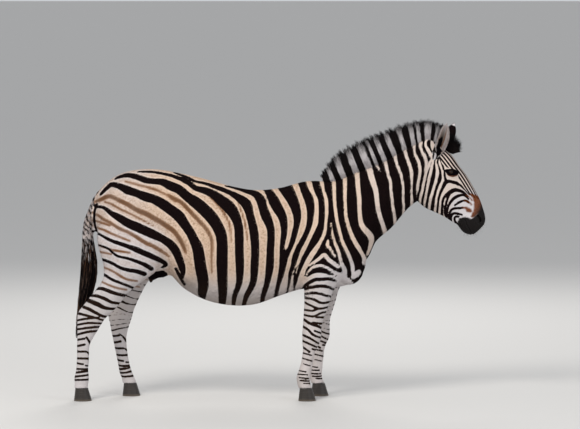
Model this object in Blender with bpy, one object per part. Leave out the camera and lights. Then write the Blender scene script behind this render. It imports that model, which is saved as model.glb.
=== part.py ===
"""A plains zebra stallion, life size, standing square with its head up.

Frame: metres, +Z up, +X towards the nose, +Y to the animal's left. The origin is on the
ground under the middle of the animal. The body is lofted whole from a few cross-sections,
united and smoothed, and then parted with thin cuts into its named pieces.
"""

import math

import bmesh
import bpy
from mathutils import Matrix, Vector

# Driving dimensions
GAP = 0.0003            # between neighbouring pieces
WITHERS = 1.311         # height of the withers
RUMP = 1.379            # height of the rump
BELLY = 0.562           # lowest point of the belly
BARREL = 0.292          # half the width of the barrel at its widest
LEG_SPREAD = 0.128      # from the middle plane to the middle of each hoof
SHOULDER_SPREAD = 0.125  # and to the middle of each leg where it meets the body
THIGH_SPREAD = 0.150
SPREAD_HEIGHT = 0.9      # height of that meeting
CORONET = 0.075         # height where the hair ends and the hoof begins
ELBOW_CUT, KNEE_CUT = 0.640, 0.330      # heights of the cuts across the forelegs
STIFLE_CUT, HOCK_CUT = 0.690, 0.440     # and across the hind legs
EYE_RADIUS = 0.0215
EYE_PLACE = (1.019, 0.0800, 1.368)
VOXEL = 0.009           # grain of the union of the lofts
RING_POINTS = 36        # points round each cross-section
FLESH_TRIANGLES = 5100
HEAD_FROM = 0.84        # the head's triangles are finer, from here forward
LEG_UNDER = 0.62        # and so are the legs', below here, behind and ahead of the belly
BELLY_SPAN = (-0.74, 0.09)
HEAD_COARSE, LEG_COARSE = 0.986, 0.974

# Trunk sections across the spine, from tail to breast:
# (x, top, bottom, half width, height of the widest place, squareness above)
TRUNK = [
    (-1.108, 1.205, 1.080, 0.030, 1.140, 2.0),
    (-1.088, 1.245, 0.985, 0.082, 1.120, 2.0),
    (-1.045, 1.291, 0.905, 0.140, 1.110, 2.0),
    (-0.970, 1.345, 0.850, 0.196, 1.120, 2.1),
    (-0.870, RUMP - 0.006, 0.805, 0.238, 1.120, 2.2),
    (-0.780, RUMP, 0.785, 0.254, 1.110, 2.2),
    (-0.680, 1.369, 0.768, 0.258, 1.070, 2.1),
    (-0.580, 1.350, 0.668, 0.266, 1.000, 2.0),
    (-0.450, 1.320, 0.596, 0.284, 0.950, 2.0),
    (-0.300, 1.279, BELLY, BARREL, 0.930, 2.0),
    (-0.150, 1.254, 0.568, 0.287, 0.930, 1.9),
    (0.000, 1.267, 0.620, 0.258, 0.930, 1.8),
    (0.120, 1.300, 0.657, 0.215, 0.930, 1.7),
    (0.220, WITHERS, 0.667, 0.186, 0.920, 1.7),
    (0.320, 1.290, 0.668, 0.176, 0.900, 1.8),
    (0.420, 1.180, 0.690, 0.150, 0.890, 2.0),
    (0.480, 1.040, 0.732, 0.118, 0.880, 2.0),
    (0.512, 0.930, 0.790, 0.062, 0.860, 2.0),
]

# Neck sections square to its axis, from the shoulders to the poll:
# (crest x, crest z, throat x, throat z, half width, place of the widest from crest to throat)
NECK = [
    (0.200, 1.295, 0.360, 0.740, 0.150, 0.62),
    (0.335, 1.312, 0.512, 0.830, 0.150, 0.62),
    (0.460, 1.363, 0.575, 0.945, 0.128, 0.60),
    (0.595, 1.414, 0.655, 1.015, 0.108, 0.56),
    (0.700, 1.473, 0.722, 1.090, 0.096, 0.52),
    (0.800, 1.528, 0.772, 1.148, 0.088, 0.48),
    (0.872, 1.560, 0.812, 1.180, 0.083, 0.46),
    (0.930, 1.545, 0.870, 1.230, 0.075, 0.45),
]

# Head sections square to its axis, from the poll to the lips:
# (face x, face z, jaw x, jaw z, half width, place of the widest from face to jaw)
HEAD = [
    (0.880, 1.568, 0.822, 1.215, 0.066, 0.35),
    (0.945, 1.538, 0.841, 1.172, 0.078, 0.34),
    (0.995, 1.497, 0.880, 1.144, 0.086, 0.33),
    (1.036, 1.456, 0.926, 1.123, 0.086, 0.32),
    (1.070, 1.405, 0.967, 1.103, 0.080, 0.32),
    (1.114, 1.348, 1.003, 1.083, 0.067, 0.36),
    (1.153, 1.284, 1.034, 1.061, 0.057, 0.42),
    (1.183, 1.230, 1.058, 1.050, 0.051, 0.46),
    (1.204, 1.186, 1.072, 1.034, 0.050, 0.48),
    (1.221, 1.135, 1.092, 1.007, 0.053, 0.48),
    (1.233, 1.084, 1.122, 0.989, 0.052, 0.46),
    (1.226, 1.050, 1.152, 0.987, 0.043, 0.46),
    (1.206, 1.030, 1.172, 0.994, 0.022, 0.50),
]

# Foreleg sections, level with the ground, from shoulder to pastern:
# (z, back x, front x, half width)
FORELEG = [
    (0.980, 0.120, 0.420, 0.050),
    (0.860, 0.110, 0.430, 0.078),
    (0.760, 0.118, 0.390, 0.080),
    (0.700, 0.138, 0.345, 0.070),
    (0.640, 0.145, 0.312, 0.061),
    (0.560, 0.144, 0.287, 0.052),
    (0.480, 0.138, 0.258, 0.043),
    (0.430, 0.135, 0.249, 0.042),
    (0.385, 0.133, 0.247, 0.044),
    (0.345, 0.134, 0.238, 0.039),
    (0.300, 0.136, 0.214, 0.031),
    (0.240, 0.128, 0.200, 0.029),
    (0.185, 0.113, 0.191, 0.031),
    (0.140, 0.098, 0.183, 0.037),
    (0.110, 0.103, 0.180, 0.034),
    (0.085, 0.108, 0.188, 0.038),
    (0.050, 0.112, 0.200, 0.042),
]

# Right hind leg, standing under the point of the buttock, and left hind leg, a step ahead:
# (z, back x, front x, half width)
HIND_BACK = [
    (1.180, -0.990, -0.660, 0.050),
    (1.080, -1.072, -0.590, 0.096),
    (0.960, -1.088, -0.600, 0.116),
    (0.870, -1.066, -0.655, 0.112),
    (0.800, -1.050, -0.715, 0.100),
    (0.750, -1.052, -0.772, 0.088),
    (0.700, -1.072, -0.846, 0.075),
    (0.640, -1.120, -0.912, 0.061),
    (0.580, -1.168, -0.958, 0.050),
    (0.535, -1.203, -0.998, 0.045),
    (0.490, -1.212, -1.046, 0.044),
    (0.440, -1.211, -1.077, 0.041),
    (0.390, -1.212, -1.108, 0.035),
    (0.330, -1.214, -1.137, 0.030),
    (0.250, -1.215, -1.141, 0.028),
    (0.185, -1.219, -1.145, 0.031),
    (0.135, -1.231, -1.142, 0.037),
    (0.105, -1.228, -1.146, 0.034),
    (0.080, -1.230, -1.148, 0.038),
    (0.050, -1.238, -1.150, 0.042),
]
HIND_AHEAD = [
    (1.180, -0.980, -0.660, 0.050),
    (1.080, -1.062, -0.585, 0.096),
    (0.960, -1.076, -0.585, 0.116),
    (0.870, -1.050, -0.630, 0.112),
    (0.800, -1.026, -0.690, 0.100),
    (0.750, -1.012, -0.740, 0.088),
    (0.700, -1.006, -0.792, 0.075),
    (0.640, -1.010, -0.829, 0.062),
    (0.580, -1.026, -0.858, 0.052),
    (0.530, -1.040, -0.880, 0.046),
    (0.485, -1.041, -0.894, 0.044),
    (0.440, -1.031, -0.907, 0.041),
    (0.390, -1.022, -0.924, 0.035),
    (0.330, -1.010, -0.930, 0.030),
    (0.250, -0.994, -0.922, 0.028),
    (0.185, -0.981, -0.910, 0.031),
    (0.135, -0.972, -0.894, 0.037),
    (0.105, -0.958, -0.880, 0.034),
    (0.080, -0.955, -0.872, 0.038),
    (0.050, -0.953, -0.862, 0.042),
]

# Where the left foreleg stands ahead of the right one: at the elbow and at the hoof
FORE_STEP_TOP = 0.036
FORE_STEP_HOOF = 0.085

# Hoof: how far toe and heel reach past the coronet, and its half widths
HOOF_TOE = 0.024
HOOF_HEEL = 0.006
HOOF_HALF_TOP = 0.041
HOOF_HALF_SOLE = 0.049

# Mane, a thick upright brush from withers to poll:
# (base x, base z, tip x, tip z, half thickness at the skin)
MANE = [
    (0.262, 1.300, 0.243, 1.352, 0.010),
    (0.335, 1.312, 0.288, 1.425, 0.020),
    (0.400, 1.332, 0.338, 1.487, 0.024),
    (0.500, 1.377, 0.432, 1.540, 0.027),
    (0.600, 1.416, 0.527, 1.586, 0.028),
    (0.700, 1.474, 0.640, 1.627, 0.028),
    (0.780, 1.516, 0.745, 1.664, 0.027),
    (0.850, 1.550, 0.838, 1.683, 0.026),
    (0.905, 1.556, 0.915, 1.678, 0.023),
    (0.945, 1.536, 0.972, 1.655, 0.015),
]
MANE_TIP_HALF = 0.006

# Forelock, brushed forward over the brow: (z, back x, front x, half width)
FORELOCK = [
    (1.480, 0.945, 0.985, 0.014),
    (1.505, 0.960, 1.075, 0.026),
    (1.517, 0.985, 1.092, 0.029),
    (1.540, 1.000, 1.083, 0.028),
    (1.575, 1.008, 1.070, 0.022),
    (1.610, 1.015, 1.050, 0.010),
]

# Tail sections, level with the ground: (z, back x, front x, half width)
TAIL_DOCK = [
    (1.228, -1.108, -1.050, 0.022),
    (1.190, -1.128, -1.065, 0.027),
    (1.140, -1.149, -1.090, 0.027),
    (1.080, -1.172, -1.115, 0.027),
    (1.020, -1.184, -1.122, 0.029),
    (0.950, -1.187, -1.118, 0.032),
]
TAIL_TUFT = [
    (0.950, -1.187, -1.118, 0.032),
    (0.880, -1.191, -1.106, 0.040),
    (0.790, -1.196, -1.096, 0.045),
    (0.710, -1.201, -1.101, 0.044),
    (0.620, -1.210, -1.130, 0.038),
    (0.520, -1.219, -1.165, 0.028),
    (0.430, -1.226, -1.195, 0.017),
    (0.360, -1.224, -1.214, 0.006),
]

# Ears: root, tip, the way the bowl opens, and how far the ear bows forward
EAR_LENGTH_STEPS = 10
EAR_ROUND_STEPS = 8
EAR_WALL = 0.005
EAR_HALF_WIDTHS = (0.025, 0.033, 0.039, 0.041, 0.037, 0.027, 0.003)
EAR_WRAP_ROOT, EAR_WRAP_TIP = 250, 120
EAR_BOW = 0.014
EAR_R = ((0.929, -0.056, 1.462), (0.996, -0.090, 1.658), (0.42, -0.90, 0.0))
EAR_L = ((0.945, 0.056, 1.462), (1.051, 0.088, 1.652), (0.50, 0.86, 0.0))

# Round masses of muscle and bone: (centre, radii), mirrored left and right
MASSES = [
    ((1.018, 0.068, 1.368), (0.046, 0.031, 0.036)),     # rim of the orbit
    ((0.948, 0.050, 1.236), (0.070, 0.026, 0.085)),     # cheek
    ((1.196, 0.034, 1.088), (0.030, 0.022, 0.028)),     # nostril
    ((0.230, 0.110, 0.930), (0.170, 0.075, 0.190)),     # shoulder
    ((0.415, 0.080, 0.800), (0.090, 0.060, 0.110)),     # breast
    ((-0.840, 0.160, 1.060), (0.200, 0.085, 0.210)),    # haunch
]
SHEATH = ((-0.735, 0.0, 0.762), (0.085, 0.042, 0.036))
SHEATH_TIP = ((-0.768, 0.0, 0.728), (0.024, 0.020, 0.028))

# Plain colours of each kind of piece: (red, green, blue), roughness
COAT = ((0.50, 0.45, 0.40), 0.75)
DARK_HAIR = ((0.03, 0.026, 0.024), 0.70)
PALE_HAIR = ((0.45, 0.42, 0.39), 0.75)
HORN = ((0.06, 0.05, 0.045), 0.50)
EYE = ((0.015, 0.010, 0.008), 0.08)


def clear_scene():
    """Removes whatever the file holds."""
    for thing in list(bpy.data.objects):
        bpy.data.objects.remove(thing, do_unlink=True)


def material(name, look):
    """A plain Principled material; made once for each name."""
    found = bpy.data.materials.get(name)
    if found:
        return found
    colour, roughness = look
    made = bpy.data.materials.new(name)
    made.use_nodes = True
    shader = made.node_tree.nodes["Principled BSDF"]
    shader.inputs["Base Color"].default_value = (*colour, 1.0)
    shader.inputs["Roughness"].default_value = roughness
    shader.inputs["Metallic"].default_value = 0.0
    return made


def smooth_rows(rows, steps):
    """Rows of numbers made finer: a Catmull-Rom curve through them, steps between each two."""
    finer = []
    last = len(rows) - 1
    for i in range(last):
        before, here, there, after = (rows[max(0, min(last, i + k))] for k in (-1, 0, 1, 2))
        for step in range(steps):
            t = step / steps
            finer.append([
                0.5 * (2 * b + (c - a) * t + (2 * a - 5 * b + 4 * c - d) * t * t
                       + (3 * b - a - 3 * c + d) * t ** 3)
                for a, b, c, d in zip(before, here, there, after)])
    finer.append(list(rows[-1]))
    return finer


def curve_power(value, power):
    """value raised to a power, keeping its sign."""
    return math.copysign(abs(value) ** power, value)


def section(top, bottom, half_width, widest, side=0.0, square_top=2.0, square_bottom=2.0):
    """Points round one cross-section, between a top and a bottom point of the X-Z plane."""
    top = Vector((top[0], side, top[1]))
    bottom = Vector((bottom[0], side, bottom[1]))
    middle = top.lerp(bottom, widest)
    points = []
    for k in range(RING_POINTS):
        angle = 2 * math.pi * k / RING_POINTS
        up, across = math.cos(angle), math.sin(angle)
        square = square_top if up > 0 else square_bottom
        reach = (top - middle) if up > 0 else (bottom - middle)
        point = middle + reach * abs(up) ** (2 / square)
        point = point + Vector((0, half_width * curve_power(across, 2 / square), 0))
        points.append(point)
    return points


def add_loft(shape, rings):
    """A closed skin over rings of points, added to a bmesh."""
    made = [[shape.verts.new(point) for point in ring] for ring in rings]
    count = len(made[0])
    for first, second in zip(made, made[1:]):
        for k in range(count):
            n = (k + 1) % count
            shape.faces.new((first[k], first[n], second[n], second[k]))
    shape.faces.new(reversed(made[0]))
    shape.faces.new(made[-1])


def add_mass(shape, centre, radii):
    """An ellipsoid added to a bmesh."""
    place = Matrix.Translation(centre) @ Matrix.Diagonal((*radii, 1.0))
    bmesh.ops.create_icosphere(shape, subdivisions=3, radius=1.0, matrix=place)


def level_rings(rows):
    """Rings of a tail or forelock in the middle plane, each level with the ground."""
    return [
        section((front, z), (back, z), half, 0.5)[::3]
        for z, back, front, half in smooth_rows(rows, 2)]


def new_object(name, shape, look_name, look):
    """A mesh object from a bmesh, with its material, its faces turned outward."""
    bmesh.ops.recalc_face_normals(shape, faces=shape.faces)
    mesh = bpy.data.meshes.new(name)
    shape.to_mesh(mesh)
    shape.free()
    mesh.materials.append(material(look_name, look))
    mesh.shade_smooth()
    thing = bpy.data.objects.new(name, mesh)
    bpy.context.collection.objects.link(thing)
    return thing


def evaluated_copy(thing, name):
    """A new mesh holding an object's shape with its modifiers applied."""
    seen = thing.evaluated_get(bpy.context.evaluated_depsgraph_get())
    mesh = bpy.data.meshes.new_from_object(seen)
    mesh.name = name
    return mesh


def foreleg_rows(side):
    """Sections of one foreleg; the left one stands a little ahead."""
    if side < 0:
        return FORELEG
    top, bottom = FORELEG[0][0], 0.0
    rows = []
    for z, back, front, half in FORELEG:
        down = (top - z) / (top - bottom)
        step = FORE_STEP_TOP + (FORE_STEP_HOOF - FORE_STEP_TOP) * down ** 2
        rows.append((z, back + step, front + step, half))
    return rows


def hind_rows(side):
    """Sections of one hind leg: the right one is back, the left one a step ahead."""
    return HIND_BACK if side < 0 else HIND_AHEAD


def leg_side(z, side, top_spread):
    """The leg's distance from the middle plane at one height: wider at the top."""
    share = max(0.0, min(1.0, z / SPREAD_HEIGHT))
    return side * (LEG_SPREAD + (top_spread - LEG_SPREAD) * share)


def leg_rings(rows, side, top_spread):
    """Rings of a leg that leans in towards the ground."""
    rings = []
    for z, back, front, half in smooth_rows(rows, 3):
        rings.append(section((front, z), (back, z), half, 0.5, leg_side(z, side, top_spread)))
    return rings


def whole_flesh():
    """The body in one piece: lofts and masses, united, smoothed and thinned out."""
    shape = bmesh.new()
    add_loft(shape, [
        section((x, top), (x, bottom), half, (top - widest) / (top - bottom), 0.0, square, 2.1)
        for x, top, bottom, half, widest, square in smooth_rows(TRUNK, 4)])
    for rows in (NECK, HEAD):
        add_loft(shape, [
            section((ax, az), (bx, bz), half, widest)
            for ax, az, bx, bz, half, widest in smooth_rows(rows, 4)])
    for side in (-1, 1):
        add_loft(shape, leg_rings(foreleg_rows(side), side, SHOULDER_SPREAD))
        add_loft(shape, leg_rings(hind_rows(side), side, THIGH_SPREAD))
        for centre, radii in MASSES:
            add_mass(shape, (centre[0], side * centre[1], centre[2]), radii)
    add_mass(shape, *SHEATH)
    add_mass(shape, *SHEATH_TIP)
    flesh = new_object("flesh", shape, "coat", COAT)
    union = flesh.modifiers.new("union", "REMESH")
    union.mode = "VOXEL"
    union.voxel_size = VOXEL
    soften = flesh.modifiers.new("soften", "SMOOTH")
    soften.factor = 0.5
    soften.iterations = 8
    swell = flesh.modifiers.new("swell", "DISPLACE")
    swell.mid_level = 0.0
    swell.strength = 0.0018
    flesh.data = evaluated_copy(flesh, "flesh_fine")
    flesh.modifiers.clear()
    coarse = flesh.vertex_groups.new(name="coarse")
    for vertex in flesh.data.vertices:
        coarse.add([vertex.index], coarseness(vertex.co), "REPLACE")
    thin = flesh.modifiers.new("thin", "DECIMATE")
    thin.vertex_group = coarse.name
    thin.ratio = FLESH_TRIANGLES / (2 * len(flesh.data.polygons))
    thin.use_collapse_triangulate = True
    flesh.data = evaluated_copy(flesh, "flesh")
    flesh.modifiers.clear()
    trim_soles(flesh.data)
    hide(flesh)
    return flesh


def coarseness(place):
    """How freely the surface may be thinned out at a place; 1 is the plain trunk."""
    if place.x > HEAD_FROM:
        return HEAD_COARSE
    beside_belly = place.x < BELLY_SPAN[0] or place.x > BELLY_SPAN[1]
    return LEG_COARSE if place.z < LEG_UNDER and beside_belly else 1.0


def trim_soles(mesh):
    """Cuts the legs off flat at the coronets."""
    shape = bmesh.new()
    shape.from_mesh(mesh)
    everything = shape.verts[:] + shape.edges[:] + shape.faces[:]
    cut = bmesh.ops.bisect_plane(
        shape, geom=everything, plane_co=(0, 0, CORONET), plane_no=(0, 0, -1), clear_outer=True)
    edges = [e for e in cut["geom_cut"] if isinstance(e, bmesh.types.BMEdge)]
    bmesh.ops.holes_fill(shape, edges=edges)
    shape.to_mesh(mesh)
    shape.free()


def hide(thing):
    """Marks a cutter or guide, which is no piece of the animal."""
    thing.hide_render = True
    thing.display_type = "WIRE"
    thing.hide_set(True)


def box_cutter(name, low, high):
    """A box between two corners, to cut with."""
    shape = bmesh.new()
    bmesh.ops.create_cube(shape, size=1.0)
    size = [b - a for a, b in zip(low, high)]
    middle = [(a + b) / 2 for a, b in zip(low, high)]
    shape.transform(Matrix.Translation(middle) @ Matrix.Diagonal((*size, 1.0)))
    cutter = new_object(name, shape, "coat", COAT)
    hide(cutter)
    return cutter


def slab_cutter(name, upper, lower, shift=0.0):
    """A large block ahead of the plane through two points of the middle plane.

    shift moves the block back along its own normal, to leave the gap of a cut."""
    along = Vector((upper[0] - lower[0], 0, upper[1] - lower[1])).normalized()
    across = Vector((0, 1, 0))
    ahead = across.cross(along)
    size = 2.0
    middle = Vector(((upper[0] + lower[0]) / 2, 0, (upper[1] + lower[1]) / 2))
    frame = Matrix((ahead, across, along)).transposed().to_4x4()
    place = Matrix.Translation(middle + ahead * (size / 2 - shift)) @ frame
    shape = bmesh.new()
    bmesh.ops.create_cube(shape, size=size, matrix=place)
    cutter = new_object(name, shape, "coat", COAT)
    hide(cutter)
    return cutter


def combine(thing, cutter, operation):
    """Adds a Boolean to a piece."""
    cut = thing.modifiers.new(f"{operation.lower()}_{cutter.name}", "BOOLEAN")
    cut.operation = operation
    cut.solver = "EXACT"
    cut.object = cutter


def flesh_piece(name, flesh, keep=(), drop=()):
    """One named part of the body: what is inside keep's blocks and outside drop's."""
    piece = bpy.data.objects.new(name, flesh.data.copy())
    bpy.context.collection.objects.link(piece)
    for cutter in keep:
        combine(piece, cutter, "INTERSECT")
    for cutter in drop:
        combine(piece, cutter, "DIFFERENCE")
    return piece


def swollen(flesh):
    """The body made fatter by the gap, to cut hair and ears away from it."""
    thing = bpy.data.objects.new("flesh_and_gap", flesh.data.copy())
    bpy.context.collection.objects.link(thing)
    grow = thing.modifiers.new("grow", "DISPLACE")
    grow.mid_level = 0.0
    grow.strength = 2 * GAP
    hide(thing)
    return thing


def make_hoof(name, rows, side, top_spread):
    """A hoof: a flat sole, walls that slope out, a rim at the coronet."""
    coronet = [row for row in smooth_rows(rows, 8) if row[0] <= CORONET][0]
    back, front = coronet[1], coronet[2]
    y = leg_side(0.0, side, top_spread)
    top = CORONET - GAP
    levels = [(0.0, 0.95, 0.97), (0.004, 1.0, 1.0), (top - 0.008, 0.16, 0.20), (top, 0.05, 0.0)]
    rings = []
    # each level: height, share of the spread of toe and heel, share of the widening
    for z, spread, wide in levels:
        half = HOOF_HALF_TOP + (HOOF_HALF_SOLE - HOOF_HALF_TOP) * wide
        toe = front + HOOF_TOE * spread
        heel = back - HOOF_HEEL * spread
        rings.append(section((toe, z), (heel, z), half, 0.55, y, 2.2, 2.6))
    shape = bmesh.new()
    add_loft(shape, [ring[::2] for ring in rings])
    new_object(name, shape, "hoof_horn", HORN)


def make_eye(name, side):
    """An eyeball, and the slightly larger ball that cuts its socket."""
    x, y, z = EYE_PLACE
    made = []
    for label, radius in ((name, EYE_RADIUS), (f"{name}_socket", EYE_RADIUS + GAP)):
        shape = bmesh.new()
        place = Matrix.Translation((x, side * y, z))
        bmesh.ops.create_icosphere(shape, subdivisions=2, radius=radius, matrix=place)
        made.append(new_object(label, shape, "eye", EYE))
    hide(made[1])
    return made


def make_ear(name, root, tip, opening, body):
    """An ear: a cupped leaf, rolled into a tube at its root, open towards one side."""
    root, tip = Vector(root), Vector(tip)
    along = (tip - root).normalized()
    front = Vector(opening)
    front = (front - along * front.dot(along)).normalized()
    across = along.cross(front)
    widths = smooth_rows([(w,) for w in EAR_HALF_WIDTHS], 8)
    rings = []
    for i in range(EAR_LENGTH_STEPS + 1):
        t = i / EAR_LENGTH_STEPS
        half = widths[round(t * (len(widths) - 1))][0]
        wrap = math.radians(EAR_WRAP_ROOT + (EAR_WRAP_TIP - EAR_WRAP_ROOT) * t ** 0.7)
        middle = root.lerp(tip, t) + Vector((EAR_BOW * math.sin(math.pi * t), 0, 0))
        depth = half * (1.0 - 0.45 * t)
        wall = min(EAR_WALL * (1 - 0.5 * t), half * 0.6)
        ring = []
        for thin in (0.0, wall):
            side_points = []
            for k in range(EAR_ROUND_STEPS + 1):
                angle = wrap * (k / EAR_ROUND_STEPS - 0.5)
                sway = across * ((half - thin) * math.sin(angle))
                dip = front * ((depth - thin) * math.cos(angle))
                side_points.append(middle + sway - dip)
            ring += side_points if thin == 0.0 else list(reversed(side_points))
        rings.append(ring)
    shape = bmesh.new()
    add_loft(shape, rings)
    combine(new_object(name, shape, "coat", COAT), body, "DIFFERENCE")


def make_mane(body):
    """The brush of the mane, thick at the crest and thin at its tips."""
    rings = []
    for bx, bz, tx, tz, half in smooth_rows(MANE, 2):
        base, end = Vector((bx, 0, bz)), Vector((tx, 0, tz))
        root = base - (end - base).normalized() * 0.035
        ring = []
        for t, width in ((0.0, half), (0.35, half), (0.7, half * 0.72), (1.0, MANE_TIP_HALF)):
            ring.append(root.lerp(end, t) + Vector((0, width, 0)))
        ring += [Vector((p.x, -p.y, p.z)) for p in reversed(ring)]
        rings.append(ring)
    shape = bmesh.new()
    add_loft(shape, rings)
    combine(new_object("mane", shape, "mane_hair", DARK_HAIR), body, "DIFFERENCE")


def make_hair_loft(name, rows, look_name, look, body):
    """A tail, tuft or forelock: level rings, cut clear of the body."""
    shape = bmesh.new()
    add_loft(shape, level_rings(rows))
    combine(new_object(name, shape, look_name, look), body, "DIFFERENCE")


def build():
    clear_scene()
    flesh = whole_flesh()
    body = swollen(flesh)

    # Planes that part head, neck and trunk, each given by its upper and lower point
    poll, throat = (0.868, 1.580), (0.822, 1.160)
    withers, breast = (0.262, 1.330), (0.540, 0.800)
    head_block = slab_cutter("head_block", poll, throat)
    head_gap = slab_cutter("head_gap", poll, throat, GAP)
    neck_block = slab_cutter("neck_block", withers, breast)
    neck_gap = slab_cutter("neck_gap", withers, breast, GAP)

    # Each leg is cut across at its top and under its knee or hock
    leg_gaps = []
    legs = {
        "fore": (ELBOW_CUT, KNEE_CUT, (0.110, 0.460), foreleg_rows, SHOULDER_SPREAD),
        "hind": (STIFLE_CUT, HOCK_CUT, (-1.400, -0.790), hind_rows, THIGH_SPREAD),
    }
    for kind, (top, knee, reach, rows_of, spread) in legs.items():
        for side, letter in ((-1, "R"), (1, "L")):
            wide = (reach[0] - 0.1, reach[1] + 0.1)
            for part, (back, front), low, high in (
                    ("upper", reach, knee, top), ("lower", wide, -1.0, knee - GAP)):
                inner, outer = sorted((side * 0.012, side * 0.400))
                tag = f"{kind}_{part}_{letter}"
                block = box_cutter(f"{tag}_box", (back, inner, low), (front, outer, high))
                leg_gaps.append(box_cutter(
                    f"{tag}_gap", (back - GAP, inner - GAP, low - GAP),
                    (front + GAP, outer + GAP, high + GAP)))
                flesh_piece(tag, flesh, keep=[block])
            make_hoof(f"{kind}_hoof_{letter}", rows_of(side), side, spread)

    flesh_piece("trunk", flesh, drop=[neck_gap, *leg_gaps])
    flesh_piece("neck", flesh, keep=[neck_block], drop=[head_gap])
    head = flesh_piece("head", flesh, keep=[head_block])

    for side, letter, ear in ((-1, "R", EAR_R), (1, "L", EAR_L)):
        _, socket = make_eye(f"eye_{letter}", side)
        combine(head, socket, "DIFFERENCE")
        make_ear(f"ear_{letter}", *ear, body)

    make_mane(body)
    make_hair_loft("forelock", FORELOCK, "mane_hair", DARK_HAIR, body)
    make_hair_loft("tail_dock", TAIL_DOCK, "tail_hair_pale", PALE_HAIR, body)
    tuft = [(TAIL_TUFT[0][0] - GAP, *TAIL_TUFT[0][1:]), *TAIL_TUFT[1:]]
    make_hair_loft("tail_tuft", tuft, "tail_hair_dark", DARK_HAIR, body)


build()
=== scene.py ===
import bmesh
import bpy
import math
import numpy as np
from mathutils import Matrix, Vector
from mathutils.bvhtree import BVHTree


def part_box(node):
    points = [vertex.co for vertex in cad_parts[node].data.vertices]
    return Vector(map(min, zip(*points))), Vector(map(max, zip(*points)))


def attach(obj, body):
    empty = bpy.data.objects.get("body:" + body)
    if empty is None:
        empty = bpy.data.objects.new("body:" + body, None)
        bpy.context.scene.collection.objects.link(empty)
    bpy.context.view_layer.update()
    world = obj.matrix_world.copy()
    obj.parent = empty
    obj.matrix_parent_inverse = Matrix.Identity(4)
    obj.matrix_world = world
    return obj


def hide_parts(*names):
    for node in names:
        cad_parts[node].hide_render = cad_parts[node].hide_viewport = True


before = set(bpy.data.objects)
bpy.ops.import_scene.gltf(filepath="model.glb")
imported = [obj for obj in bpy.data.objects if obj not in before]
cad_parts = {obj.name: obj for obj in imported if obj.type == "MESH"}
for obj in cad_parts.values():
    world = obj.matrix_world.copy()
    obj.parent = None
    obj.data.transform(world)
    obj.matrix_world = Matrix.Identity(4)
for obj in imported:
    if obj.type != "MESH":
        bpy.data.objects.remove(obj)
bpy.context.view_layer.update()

# ---- Skin: the form ---------------------------------------------------------------------
# The hide of a grown stallion, one closed skin from the lips to the coronets, drawn over a
# padded form so that muscle, bone and tendon show softly through it. It lies inside the
# solids by the depth of the coat.
FLESH = ["trunk", "neck", "head", "tail_dock"]
FLESH += [f"{end}_{part}_{side}" for end in ("fore", "hind") for part in ("upper", "lower") for side in "RL"]
EYES = ["eye_R", "eye_L"]
CUT_GAP = 0.0006          # faces of two nodes nearer than this are the two walls of one cut
FUSE = 0.0007             # how far each node swells, so that the walls of a cut meet
ROUND_LIMIT = 0.12        # the most that an edge bulges, as a share of its length
SKIN_CELL = 0.0133
COAT_DEPTH = 0.0025
SNAP_REACH = 0.012


def smooth_step(value, low, high):
    t = np.clip((value - low) / (high - low), 0.0, 1.0)
    return t * t * (3 - 2 * t)


def fade(value, low, high):
    return 1 - smooth_step(value, low, high)


def unit(vectors):
    return vectors / np.maximum(np.linalg.norm(vectors, axis=-1, keepdims=True), 1e-9)


def node_shape(name):
    """A node's welded corners and its triangles."""
    shape = bmesh.new()
    shape.from_mesh(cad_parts[name].data)
    bmesh.ops.remove_doubles(shape, verts=shape.verts, dist=0.00003)
    bmesh.ops.triangulate(shape, faces=shape.faces)
    points = np.array([v.co[:] for v in shape.verts])
    faces = np.array([[v.index for v in f.verts] for f in shape.faces])
    shape.free()
    return points, faces


def face_normals(points, faces):
    a, b, c = (points[faces[:, k]] for k in range(3))
    return np.cross(b - a, c - a)


def corner_normals(points, faces, kept):
    """Normals of the corners, from the faces that count."""
    flat = face_normals(points, faces) * kept[:, None]
    total = np.zeros_like(points)
    for k in range(3):
        for axis in range(3):
            total[:, axis] += np.bincount(faces[:, k], flat[:, axis], len(points))
    return unit(total)


def rounded(points, faces, cut, normals):
    """Splits each triangle in four, with the new corners out on the round of the surface."""
    sides = np.sort(np.concatenate([faces[:, [0, 1]], faces[:, [1, 2]], faces[:, [2, 0]]]), axis=1)
    pairs, which = np.unique(sides, axis=0, return_inverse=True)
    which = which.reshape(3, -1)
    outer = np.zeros(len(pairs))
    for k in range(3):
        np.maximum.at(outer, which[k], ~cut * 1.0)
    a, b = points[pairs[:, 0]], points[pairs[:, 1]]
    na, nb = normals[pairs[:, 0]], normals[pairs[:, 1]]
    middle = (a + b) / 2
    bulge = -(np.sum((middle - a) * na, 1)[:, None] * na + np.sum((middle - b) * nb, 1)[:, None] * nb) / 4
    limit = ROUND_LIMIT * np.linalg.norm(b - a, axis=1, keepdims=True)
    size = np.linalg.norm(bulge, axis=1, keepdims=True)
    bulge *= np.minimum(1.0, limit / np.maximum(size, 1e-9)) * outer[:, None]
    new = which + len(points)
    x, y, z = faces.T
    xy, yz, zx = new
    split = np.concatenate([np.stack(t, 1) for t in ((x, xy, zx), (xy, y, yz), (zx, yz, z), (xy, yz, zx))])
    return (np.concatenate([points, middle + bulge]), split, np.tile(cut, 4),
            np.concatenate([normals, unit(na + nb)]))


def mesh_of(name, points, faces):
    """A mesh from arrays of corners and of faces with the same number of sides."""
    mesh = bpy.data.meshes.new(name)
    sides = faces.shape[1]
    mesh.vertices.add(len(points))
    mesh.vertices.foreach_set("co", points.astype(np.float32).ravel())
    mesh.loops.add(faces.size)
    mesh.loops.foreach_set("vertex_index", faces.astype(np.int32).ravel())
    mesh.polygons.add(len(faces))
    mesh.polygons.foreach_set("loop_start", np.arange(0, faces.size, sides, dtype=np.int32))
    mesh.update(calc_edges=True)
    return mesh


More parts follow.
